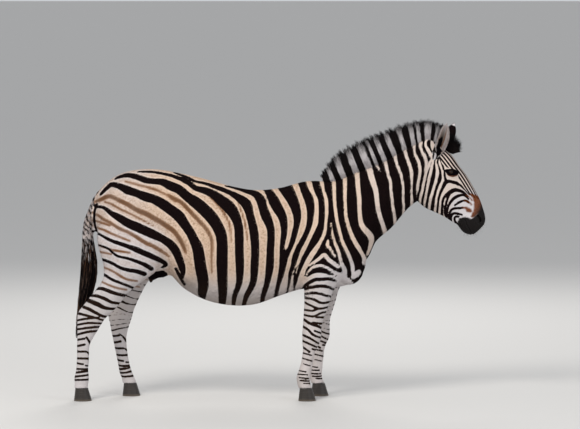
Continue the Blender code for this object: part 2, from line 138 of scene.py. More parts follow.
def add_piece(name, mesh):
    piece = bpy.data.objects.new(name, mesh)
    bpy.context.collection.objects.link(piece)
    return piece


def read(items, key, kind=np.float32, width=1):
    """One value, or a row of values, of each item of a mesh."""
    values = np.empty(len(items) * width, dtype=kind)
    items.foreach_get(key, values)
    return values.reshape(-1, width) if width > 1 else values


def points_of(mesh):
    return read(mesh.vertices, "co", width=3).astype(float)


def normals_of(mesh):
    return read(mesh.vertex_normals, "vector", width=3).astype(float)


def edges_of(mesh):
    return read(mesh.edges, "vertices", np.int32, 2)


def smoothed(points, edges, rounds, share):
    """Draws each corner towards its neighbours and back, which evens without shrinking."""
    a, b = edges.T
    count = np.maximum(np.bincount(edges.ravel(), minlength=len(points)), 1)[:, None]
    for step in range(rounds * 2):
        total = np.empty_like(points)
        for axis in range(3):
            total[:, axis] = np.bincount(a, points[b, axis], len(points))
            total[:, axis] += np.bincount(b, points[a, axis], len(points))
        pull = 0.5 if step % 2 == 0 else -0.51
        points = points + pull * share[:, None] * (total / count - points)
    return points


def whole_form():
    """The nodes of flesh, rounded: one bag of corners and triangles, cuts marked."""
    shapes = {name: node_shape(name) for name in FLESH + EYES}
    trees = {name: BVHTree.FromPolygons(p.tolist(), f.tolist()) for name, (p, f) in shapes.items()}
    bag_points, bag_faces, bag_cut, start = [], [], [], 0
    for name, (points, faces) in shapes.items():
        centres = points[faces].mean(axis=1)
        way = unit(face_normals(points, faces))
        cut = np.zeros(len(faces), bool)
        for other, tree in trees.items():
            if other == name:
                continue
            for i, centre in enumerate(centres):
                place, normal, _, _ = tree.find_nearest(Vector(centre), CUT_GAP)
                if place is not None and normal.dot(Vector(way[i])) < -0.5:
                    cut[i] = True
        normals = corner_normals(points, faces, ~cut * 1.0)
        for _ in range(2):
            points, faces, cut, normals = rounded(points, faces, cut, normals)
        bag_points.append(points + normals * FUSE)
        bag_faces.append(faces + start)
        bag_cut.append(cut if name in FLESH else np.ones(len(faces), bool))
        start += len(points)
    return np.concatenate(bag_points), np.concatenate(bag_faces), np.concatenate(bag_cut)


def remeshed(points, faces, cell):
    rough = add_piece("rough", mesh_of("rough", points, faces))
    remesh = rough.modifiers.new("one_skin", "REMESH")
    remesh.mode = "VOXEL"
    remesh.voxel_size = cell
    remesh.use_smooth_shade = True
    whole = bpy.data.meshes.new_from_object(rough.evaluated_get(bpy.context.evaluated_depsgraph_get()))
    bpy.data.objects.remove(rough)
    return whole


def refined(mesh, wanted):
    """Splits the faces whose middles are wanted in four."""
    shape = bmesh.new()
    shape.from_mesh(mesh)
    middles = np.array([f.calc_center_median()[:] for f in shape.faces])
    chosen = wanted(middles)
    edges = {e for f, take in zip(shape.faces, chosen) if take for e in f.edges}
    bmesh.ops.subdivide_edges(shape, edges=list(edges), cuts=1, use_grid_fill=True)
    shape.to_mesh(mesh)
    shape.free()


def snapped(points, tree, share):
    """Lays the corners back on the rounded form."""
    for i in np.nonzero(share > 0)[0]:
        place = tree.find_nearest(Vector(points[i]), SNAP_REACH)[0]
        if place is not None:
            points[i] += (np.array(place) - points[i]) * share[i]
    return points


# ---- Skin: muscles, bones and folds -----------------------------------------------------
# The relief of a lean, fit animal: shoulder blade and triceps, faint ribs, flank and stifle
# folds, tendons behind the cannons; on the head the brow, face crest, lips and nostrils.
# Lines are drawn from the side in centimetres, each with its width and then its height.
CM = 0.01
LEG_TOP, JAW, LIPS = 0.62, 0.82, 1.105     # where finer skin starts: a height and two places along
FAR = 1.0                 # further than any line, in metres
LINE_REACH = 0.06         # no line is felt further off than this
SIDE_LIFT = 0.061         # lines are drawn from a little above: what lies out to a side is lower
SIDES = {"R": -1.0, "L": 1.0}


def read_curve(rows, at):
    """Rows read off a smooth curve through the given rows, at some counts of rows."""
    k = np.minimum(at.astype(int), len(rows) - 2)
    t = (at - k)[:, None]
    p0, p1, p2, p3 = (rows[np.clip(k + j, 0, len(rows) - 1)] for j in (-1, 0, 1, 2))
    return 0.5 * (2 * p1 + (p2 - p0) * t + (2 * p0 - 5 * p1 + 4 * p2 - p3) * t ** 2
                  + (3 * p1 - p0 - 3 * p2 + p3) * t ** 3)


def curved(rows, steps=3):
    """The rows and even steps between them, on a curve."""
    rows = np.array(rows, dtype=float)
    if len(rows) < 3:
        return rows
    return read_curve(rows, np.linspace(0, len(rows) - 1, (len(rows) - 1) * steps + 1))


def thread(line):
    """A line without width."""
    return [(a, b, 0.0) for a, b in line]


def drawn_height(points):
    return points[:, 2] - SIDE_LIFT * np.abs(points[:, 1])


def within(px, pz, corners):
    """Which places lie inside an outline given in centimetres."""
    inside = np.zeros(len(px), bool)
    ax, az = np.array(corners).T * CM
    for x0, z0, x1, z1 in zip(ax, az, np.roll(ax, -1), np.roll(az, -1)):
        crosses = (z0 > pz) != (z1 > pz)
        with np.errstate(divide="ignore", invalid="ignore"):
            inside ^= crosses & (px < (x1 - x0) * (pz - z0) / (z1 - z0) + x0)
    return inside


def to_outline(px, pz, corners):
    """Distance to an outline, negative inside it."""
    gap = to_lines(px, pz, [thread(list(corners) + [corners[0]])])
    return np.where(within(px, pz, corners), -gap, gap)


def to_lines(px, pz, lines):
    """Distance from each place to the edge of the nearest stripe, negative inside it."""
    best = np.full(len(px), FAR)
    for line in lines:
        rows = curved(line) * CM
        low, high = rows.min(0) - LINE_REACH, rows.max(0) + LINE_REACH
        near = np.nonzero((px > low[0]) & (px < high[0]) & (pz > low[1]) & (pz < high[1]))[0]
        if not len(near):
            continue
        qx, qz = px[near], pz[near]
        gap = np.full(len(near), FAR)
        for (ax, az, aw), (bx, bz, bw) in zip(rows[:-1], rows[1:]):
            dx, dz = bx - ax, bz - az
            t = np.clip(((qx - ax) * dx + (qz - az) * dz) / (dx * dx + dz * dz), 0, 1)
            far = np.hypot(qx - ax - t * dx, qz - az - t * dz) - (aw + (bw - aw) * t) / 2
            np.minimum(gap, far, out=gap)
        best[near] = np.minimum(best[near], gap)
    return best


BODY_RELIEF = [
    # (line, width, height): shoulder and neck
    ([(25, 124), (29, 112), (34, 99)], 3.2, 0.32), ([(17, 120), (18, 108), (20, 97)], 3.4, -0.30),
    ([(32, 118), (37, 106), (40, 96)], 3.0, -0.28), ([(17, 93), (23, 86), (31, 82)], 2.4, -0.34),
    ([(20, 99), (25, 93), (31, 89)], 3.6, 0.36), ([(40, 90), (41, 85)], 5.0, 0.50),
    ([(13.5, 78), (15, 74)], 3.2, 0.40), ([(45, 103), (56, 110), (68, 116), (78, 122)], 2.4, -0.40),
    ([(52, 128), (64, 136), (76, 145)], 3.6, 0.25), ([(46, 119), (58, 124), (72, 133)], 3.0, -0.22),
    ([(48, 96), (45, 86), (42, 79)], 2.4, 0.30), ([(36, 78), (34, 72)], 2.2, -0.30),
    # barrel and flank
    ([(-57, 110), (-60, 104)], 6.0, -0.55), ([(-66, 84), (-60, 79), (-55, 71)], 2.2, 0.42),
    ([(-62, 86), (-55, 79), (-49, 70)], 2.2, -0.26), ([(-63, 127), (-59, 124)], 4.0, 0.42),
    ([(-54, 119), (-40, 117), (-22, 113)], 4.0, -0.16), ([(8, 84), (-10, 72), (-28, 66)], 3.0, 0.16),
    # haunch and thigh
    ([(-71, 86), (-68, 80)], 4.4, 0.52), ([(-99, 118), (-98, 104), (-93, 90)], 3.0, -0.30),
    ([(-84, 120), (-78, 106), (-72, 94)], 5.0, 0.26), ([(-88, 82), (-96, 72), (-103, 62)], 2.4, -0.34),
    ([(-80, 74), (-90, 66), (-100, 58)], 2.6, 0.30), ([(-108, 80), (-109, 68), (-113, 58)], 1.8, 0.24),
    ([(-100, 128), (-92, 131)], 4.0, 0.24),
]
HEAD_RELIEF = [
    # (line, width, height): brow, cheek and crest of the face
    ([(98.4, 139.2), (101.6, 140), (105.2, 139.2)], 1.3, 0.42), ([(96.6, 143.4), (98.8, 142.6)], 1.8, -0.34),
    ([(104.2, 130), (107.6, 126.2), (111, 121.6)], 1.0, 0.34),
    ([(106.6, 132.4), (111, 125.6), (115, 118.6)], 1.3, -0.20),
    ([(93.6, 131), (94.4, 122), (97.6, 114.6)], 1.8, -0.16),
    ([(97.6, 112.6), (101.6, 109.4), (105.4, 107.2)], 1.1, 0.16),
    # folds under the eye
    ([(99.2, 133), (103, 132), (106.6, 133.2)], 0.5, -0.12),
    ([(98.8, 131.4), (103, 130.4), (107.4, 131.4)], 0.5, -0.08),
    # lips, chin and nostril
    ([(108.4, 111.6), (110.6, 108.4), (112.4, 104.6)], 0.9, 0.16),
    ([(106.2, 107.6), (107.4, 104.6)], 0.8, -0.22),
    ([(107.6, 106.4), (109.2, 102.4)], 0.5, -0.10),
    ([(113.4, 112.6), (115.6, 106.6), (116, 102)], 0.7, -0.07),
    ([(117.6, 112.4), (121, 111)], 0.8, 0.26), ([(116.2, 109.6), (117, 106.4), (119.2, 104.4)], 0.7, 0.22),
]
MOUTH_LINE = [(109.2, 109.6), (110, 108.2), (111.1, 106.5), (111.9, 104.2), (113.1, 102), (114.2, 100.4),
              (115.2, 99), (116, 97)]
MOUTH_DEPTH, LIP_SWELL = 0.0034, 0.0016
NOSTRIL = [(118.5, 110), (119.2, 109.2), (119.9, 107.9), (120.1, 106.7)]
NOSTRIL_HALF, NOSTRIL_DEPTH, NOSTRIL_RIM = 0.0052, 0.015, 0.0032
EYE_LONG, EYE_FACING = (0.982, 0.0, -0.188), (0.16, 1.0, 0.03)
LID_HALF_WIDTH, LID_UP, LID_DOWN = 0.0185, 0.0118, 0.0088
LID_THICK, LID_CREASE = 0.0017, 0.0014
LID_REACH = 0.05          # the skin that an eyeball shapes
SLOPE_STEP = 1e-4


def relief(points, normals, lines):
    """Raises or sinks the skin along lines seen from the side."""
    flat = np.abs(normals[:, 1]) ** 0.5
    rise = np.zeros(len(points))
    for line, width, height in lines:
        gap = np.maximum(to_lines(points[:, 0], drawn_height(points), [thread(line)]), 0)
        rise += height * CM * np.exp(-(gap / (width * CM)) ** 2)
    return points + normals * (rise * flat)[:, None]


def nostrils_and_mouth(points, normals):
    pz = drawn_height(points)
    front = points[:, 0] > 1.05
    gap = to_lines(points[:, 0], pz, [thread(NOSTRIL)])
    side = smooth_step(np.abs(points[:, 1]), 0.012, 0.026)
    hollow = NOSTRIL_DEPTH * fade(gap, NOSTRIL_HALF * 0.45, NOSTRIL_HALF * 1.25)
    rim = NOSTRIL_RIM * np.exp(-((gap - NOSTRIL_HALF * 1.8) / 0.0036) ** 2)
    lips = np.maximum(to_lines(points[:, 0], pz, [thread(MOUTH_LINE)]), 0)
    crease = MOUTH_DEPTH * np.exp(-(lips / 0.0022) ** 2) - LIP_SWELL * np.exp(-((lips - 0.0085) / 0.005) ** 2)
    rise = ((rim - hollow) * side - crease) * front
    return points + normals * rise[:, None]


def eye_frame(label):
    """An eyeball's centre and radius, and the ways out of it, along its slit and up across it."""
    low, high = (np.array(corner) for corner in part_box(f"eye_{label}"))
    out = unit(np.array(EYE_FACING) * (1, SIDES[label], 1))
    long = unit(np.array(EYE_LONG) - out * np.dot(EYE_LONG, out))
    return (low + high) / 2, (high[0] - low[0]) / 2, out, long, np.cross(out, long) * -SIDES[label]


def beyond_lids(u, v):
    """How far a place in the plane of the eye lies outside the almond between the lids."""
    arch = np.clip(1 - (u / LID_HALF_WIDTH) ** 2, 0, 1) ** 0.8
    return np.maximum(np.maximum(v - LID_UP * arch, -LID_DOWN * arch - v), np.abs(u) - LID_HALF_WIDTH)


def eyelids(points):
    """Draws the skin over each eyeball into two lids, and behind the ball between them."""
    for label, side in SIDES.items():
        centre, ball, out, long, up = eye_frame(label)
        near = np.linalg.norm(points - centre, axis=1) < LID_REACH
        near = np.nonzero(near & (side * points[:, 1] > 0.03))[0]
        away = points[near] - centre
        u, v, w = away @ long, away @ up, away @ out
        for _ in range(3):
            outside = beyond_lids(u, v)
            slope_u = (beyond_lids(u + SLOPE_STEP, v) - beyond_lids(u - SLOPE_STEP, v)) / (2 * SLOPE_STEP)
            slope_v = (beyond_lids(u, v + SLOPE_STEP) - beyond_lids(u, v - SLOPE_STEP)) / (2 * SLOPE_STEP)
            steep = np.maximum(slope_u ** 2 + slope_v ** 2, 0.3)
            slide = np.where((outside > -0.0003) & (outside < 0.0017), outside, 0.0) / steep
            u, v = u - slope_u * slide, v - slope_v * slide
        outside = beyond_lids(u, v)
        from_axis = u * u + v * v
        lid = np.sqrt(np.maximum((ball + LID_THICK) ** 2 - from_axis, 0))
        behind = np.sqrt(np.maximum((ball * 0.86) ** 2 - from_axis, 0))
        settled = smooth_step(outside, 0.003, 0.017)
        crease = LID_CREASE * np.exp(-((outside - 0.0075) / 0.0016) ** 2) * smooth_step(v, -0.004, 0.004)
        over = np.maximum(lid, w) * (1 - settled) + w * settled - crease
        target = np.where(outside < -0.0002, behind, over)
        points[near] = centre + u[:, None] * long + v[:, None] * up + target[:, None] * out
    return points


def leg_region(middles):
    x, z = middles[:, 0], middles[:, 2]
    return (z < 0.60) & ((x < -0.80) | (x > 0.09))


def haunch_region(middles):
    x, y, z = middles.T
    return (x < -0.84) & (z < 1.20) & (z >= 0.60) & (np.abs(y) > 0.05)


def near_eyes(middles, reach):
    mirrored = np.stack([middles[:, 0], np.abs(middles[:, 1]), middles[:, 2]], 1)
    return np.linalg.norm(mirrored - eye_frame("L")[0], axis=1) < reach


def near_lips(middles, reach):
    gap = to_lines(middles[:, 0], drawn_height(middles), [thread(MOUTH_LINE), thread(NOSTRIL)])
    return (gap < reach) & (middles[:, 0] > 1.0)


def put_back(mesh, points):
    mesh.vertices.foreach_set("co", points.astype(np.float32).ravel())
    mesh.update()


rough_points, rough_faces, cut = whole_form()
source = BVHTree.FromPolygons(rough_points.tolist(), rough_faces[~cut].tolist())
skin_mesh = remeshed(rough_points, rough_faces, SKIN_CELL)
points = points_of(skin_mesh)
calm = np.where(points[:, 2] < LEG_TOP, 0.25, 1.0) * np.where(points[:, 0] > JAW, 0.3, 1.0)
put_back(skin_mesh, smoothed(points, edges_of(skin_mesh), 10, calm))
refined(skin_mesh, lambda m: (m[:, 0] > JAW) | leg_region(m) | haunch_region(m))
refined(skin_mesh, lambda m: (m[:, 0] > LIPS) | near_eyes(m, 0.046))
refined(skin_mesh, lambda m: near_eyes(m, 0.028) | near_lips(m, 0.008))
points = points_of(skin_mesh)
fine = np.maximum(smooth_step(points[:, 0], 0.78, 0.90), fade(points[:, 2], 0.60, 0.72))
points = snapped(points, source, fine)
points = smoothed(points, edges_of(skin_mesh), 4, 0.3 + 0.7 * fine)
put_back(skin_mesh, points)
normals = normals_of(skin_mesh)
points = relief(points, normals, BODY_RELIEF)
points = relief(points, normals, HEAD_RELIEF)
put_back(skin_mesh, points - normals * COAT_DEPTH)
points = nostrils_and_mouth(points_of(skin_mesh), normals_of(skin_mesh))
points = smoothed(points, edges_of(skin_mesh), 16, near_eyes(points, 0.040) * 1.0)
put_back(skin_mesh, eyelids(points))
skin_mesh.shade_smooth()
skin = add_piece("skin", skin_mesh)
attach(skin, "root")

# ---- Markings: where the stripes run ----------------------------------------------------
# A plains zebra's stripes: broad bands that climb from the belly and lean back over the
# haunch, brown shadow stripes between them there, close bars on neck, face and legs.
# Each stripe is its middle line, seen from the side, and its width along it, in centimetres.
BODY_BANDS = [
    # black, on barrel, shoulder and flank
    [(-107, 123, 1.2), (-102.2, 127.7, 2.2), (-99.9, 128.8, 2.8), (-95, 127.6, 3.4), (-90, 125.2, 4.6),
     (-85, 123.5, 4), (-80, 121.5, 4.9), (-75, 120, 4.8), (-70, 117.4, 5.4), (-65, 113.8, 5.5),
     (-60, 110, 6), (-57, 106, 5.5), (-53, 100, 5.2), (-50.5, 95, 5.6), (-48.5, 90, 6.4), (-47, 80, 6.7),
     (-45.5, 70, 6.3), (-46.5, 63.5, 5), (-48, 55, 3)],
    [(-98.5, 131.9, 1), (-96.4, 133.1, 1.8), (-90.7, 134.3, 2.8), (-85, 133.1, 3.4), (-80, 131.3, 3.6),
     (-75, 130.6, 3.3), (-70, 130.2, 4), (-65, 128, 5), (-60, 125.8, 5), (-55, 121.5, 5.2), (-50, 118, 6.5),
     (-45, 113.8, 7), (-40, 108.5, 7), (-36, 102, 6.5), (-34.2, 95, 6.3), (-34.2, 80, 6.3), (-34, 64, 5),
     (-35, 55, 3.4)],
    [(-85, 136.2, 0.6), (-82.9, 136.4, 1.1), (-79, 136.3, 1.4), (-75, 136.1, 1.5), (-70, 135.2, 1.6),
     (-65, 134.1, 1.9), (-60, 132.3, 2.4), (-57.5, 131.4, 3), (-54, 129.5, 3.2), (-50, 126.5, 3),
     (-45, 125.2, 4), (-40, 123, 4.5), (-35, 119.3, 6), (-30, 115, 7), (-26.6, 110, 6), (-24.8, 105, 5.1),
     (-24.1, 100, 5.1), (-24, 90, 4.9), (-23.7, 80, 4.8), (-24.2, 70, 3.4), (-27, 62, 2.6), (-28, 55, 1.8)],
    [(-63.5, 135.9, 0.7), (-58.5, 134.2, 1.4), (-54.5, 132.6, 1.8), (-50, 130.5, 1.7), (-45, 129.5, 1.9),
     (-40, 127.8, 2.1), (-35, 126, 2.5), (-30, 123.9, 2.5), (-25, 121, 4), (-20, 117, 5.8),
     (-17.6, 110, 4.6), (-15.3, 100, 5), (-14.6, 90, 4.5), (-15, 80, 4.5), (-16, 70, 3.6), (-20, 62, 2.8),
     (-22, 55, 1.8)],
    [(-33, 127.9, 0.6), (-28, 126.9, 1.2), (-24, 125.8, 1.5), (-20.4, 124.7, 2), (-15, 123.2, 3.6),
     (-11.8, 120, 5.2), (-10.1, 115, 5.1), (-8.3, 110, 5.7), (-6.2, 105, 4.8), (-5.2, 100, 4.2),
     (-5.6, 90, 4.2), (-6, 80, 4.5), (-7.6, 70, 3.2), (-10, 62, 2.6), (-11, 55, 1.8)],
    [(-9.5, 127.5, 3.4), (-7, 125, 4.2), (-4.1, 120, 5.8), (-1.6, 115, 6), (1.3, 110, 5.2), (2.4, 105, 4.2),
     (2.5, 100, 3.5), (1.8, 95, 2.9), (1.3, 91, 2.6), (2.3, 86, 4.8), (1.6, 80, 3.9), (0.6, 75, 3.3),
     (-0.7, 70, 2.4), (-2, 64, 2), (-3, 55, 1.6)],
    [(1.5, 129, 7), (3.6, 126.5, 8), (7.2, 120, 6.6), (9.2, 115, 5.6), (10.3, 110, 4.6), (10, 105, 3.4),
     (8.8, 100, 3.1), (7.5, 95, 2.9), (5.5, 90, 2.5), (3.2, 85.5, 3.4)],
    [(12, 136, 4.6), (13.3, 130, 4.7), (14.9, 125, 4.6), (17.2, 120, 5.4), (18.2, 115, 4.6),
     (18.2, 110, 3.8), (17.5, 105, 3.2), (15.9, 100, 2.8), (13.4, 95, 3), (10.7, 90, 3.1), (9, 85, 3.4),
     (7.6, 80, 2.3), (6, 75, 1.9), (5.5, 70, 1.2), (4, 62, 0.9)],
    [(21, 136, 4.4), (21.5, 130, 4.4), (22.8, 125, 4.2), (24.5, 120, 3.4), (24.9, 115, 3.4),
     (24.9, 110, 3.5), (24.5, 105, 3.5), (23, 100, 4.6), (20.4, 95, 4.4), (17.3, 90, 3), (14, 84, 2.5),
     (12, 79, 2), (10.5, 74, 1.3), (9, 68, 0.8)],
    [(9.5, 80, 0.8), (9, 75, 1.1), (8.6, 70, 1), (8.8, 65, 0.8)],
    [(-62, 78.5, 1.6), (-60, 74.5, 1.8), (-57, 69, 1.6)],
]
HAUNCH_BANDS = [
    # black, over the haunch and down the thigh
    [(-113, 117.4, 1), (-109.3, 115.5, 1.1), (-105, 114.9, 1.5), (-100, 111.4, 2.6), (-95, 108.7, 3.9),
     (-90, 105.6, 4.6), (-85, 103.5, 5), (-80, 101.2, 5), (-75, 99, 5), (-70, 96.6, 4.3), (-65, 93.2, 4.9),
     (-62, 89.5, 5), (-60, 85, 4.6), (-58.3, 80, 4), (-57.6, 76, 2.6), (-58.5, 72, 1.2)],
    [(-114, 101, 0.9), (-108.2, 99.4, 1), (-105, 97.8, 1.2), (-100, 95.3, 1.6), (-95, 93.6, 1.9),
     (-90, 91.9, 2.1), (-85, 90, 2.8), (-80, 87.7, 2.9), (-75, 85.5, 2.9), (-71, 83.5, 2.6), (-67.7, 81, 2),
     (-70.6, 78.9, 0.9)],
    # painted shadow: a dark line down the rear edge of the haunch, where the tail lies against it
    [(-109.4, 117, 0.8), (-110.9, 113, 1), (-111.3, 108, 1), (-110.7, 103, 0.9), (-108.8, 99.2, 0.6)],
    [(-108, 92.6, 0.4), (-104.5, 91.6, 0.7), (-101.4, 90.2, 0.8), (-99, 88, 0.9), (-95.9, 86, 1),
     (-90, 84.7, 1.1), (-85, 83, 1.5), (-80, 80.9, 2), (-76.3, 78.5, 2.3)],
    [(-112, 84.8, 0.9), (-105, 83.7, 1.1), (-100, 82, 1.3), (-95, 79.3, 1.4), (-90, 77.8, 1.7),
     (-85, 77, 2), (-80.4, 75.4, 2.3)],
    [(-112, 77, 0.9), (-105, 75.1, 1), (-100, 72.2, 1.2), (-95, 70.2, 1.1), (-90, 68.2, 1),
     (-86, 66.4, 0.8)],
    [(-112, 66.2, 1), (-108.2, 66.6, 1.2), (-105, 66.4, 1.6), (-100, 64.5, 1.7), (-95, 63, 1.4),
     (-90, 62, 1)],
    [(-114.4, 62.6, 1.2), (-111.4, 62.4, 1.2), (-108.2, 62, 1.3), (-103.9, 60.4, 1.5), (-100, 58.4, 1.2),
     (-94, 57.4, 0.9)],
    [(-116, 60, 1.4), (-112.8, 59, 2), (-108.2, 57, 2.3), (-103.3, 54.8, 1.5), (-97, 54.4, 0.9)],
    [(-117, 55.4, 1.4), (-113.9, 54.4, 1.6), (-110, 52.3, 1.5), (-105.5, 50, 1.3), (-101, 49.4, 0.8)],
]
SHADOW_STRIPES = [
    # brown, in the cream between the black ones
    [(-112, 117.8, 1.2), (-106.8, 119.8, 2), (-103.3, 121.3, 2.2), (-100.4, 121.5, 2.2), (-95, 119, 2.2),
     (-90, 116.6, 2.4), (-85, 113.6, 2.6), (-80, 111.6, 2.7), (-75, 109, 2.7), (-70, 105.9, 2.6),
     (-65, 102.6, 2.6), (-62, 100, 2.4), (-59.1, 95.8, 2.2), (-56.8, 91.2, 1.8), (-55.7, 87.8, 1)],
    [(-104.2, 118.2, 0.7), (-100, 117, 0.9), (-95, 114.2, 0.9), (-90, 111.9, 0.9), (-86, 109.9, 0.9),
     (-80, 106.8, 0.8), (-75, 104, 0.6)],
    [(-113, 112, 1), (-109.6, 110.7, 1.2), (-105, 108.1, 1.4), (-101, 106.1, 1.5), (-95, 102.4, 1.5),
     (-90, 100.4, 1.6), (-85, 97.5, 1.8), (-80, 94.3, 1.9), (-75, 92, 1.9), (-70, 88.9, 1.7), (-66, 86, 1)],
    [(-113, 107.6, 0.8), (-105, 105.6, 0.9), (-101, 104.2, 0.7)],
    [(-113, 104, 0.8), (-105, 101.8, 0.9), (-100, 99.5, 1), (-95, 97.5, 1), (-89, 95.2, 0.7)],
    [(-112, 94, 0.8), (-106.5, 92.1, 0.9), (-99.9, 89.8, 1), (-95.9, 89.2, 1), (-89, 88.1, 0.7)],
    [(-110, 89, 0.7), (-105.9, 88.3, 0.9), (-100, 87.2, 0.6)],
    [(-108, 80.4, 0.7), (-100, 77.4, 0.9), (-95, 74.4, 1), (-91.3, 72.4, 1), (-85, 71.2, 0.7)],
    [(-106, 70.6, 0.6), (-98.1, 67.4, 0.9), (-91.3, 65.9, 0.7)],
    [(-66, 122.4, 0.9), (-63.7, 121, 1.5), (-58.3, 117.9, 1.9), (-54.5, 114, 2), (-50, 109.2, 2.1),
     (-45, 104, 2), (-41.8, 99.5, 1.8), (-40.1, 94.1, 1.5), (-40.4, 86, 0.9), (-40.2, 76, 0.7)],
    [(-43, 122.8, 0.7), (-36.6, 116.4, 1), (-32.8, 111.3, 1), (-29.6, 104.3, 0.9), (-29, 95, 0.6)],
    [(-25.5, 120, 0.6), (-20.7, 106, 0.8), (-19.4, 96, 0.6)],
    [(-92, 130.6, 0.7), (-84, 128.4, 0.9), (-75, 126, 1), (-68, 122.8, 0.8), (-62, 118.4, 0.5)],
]
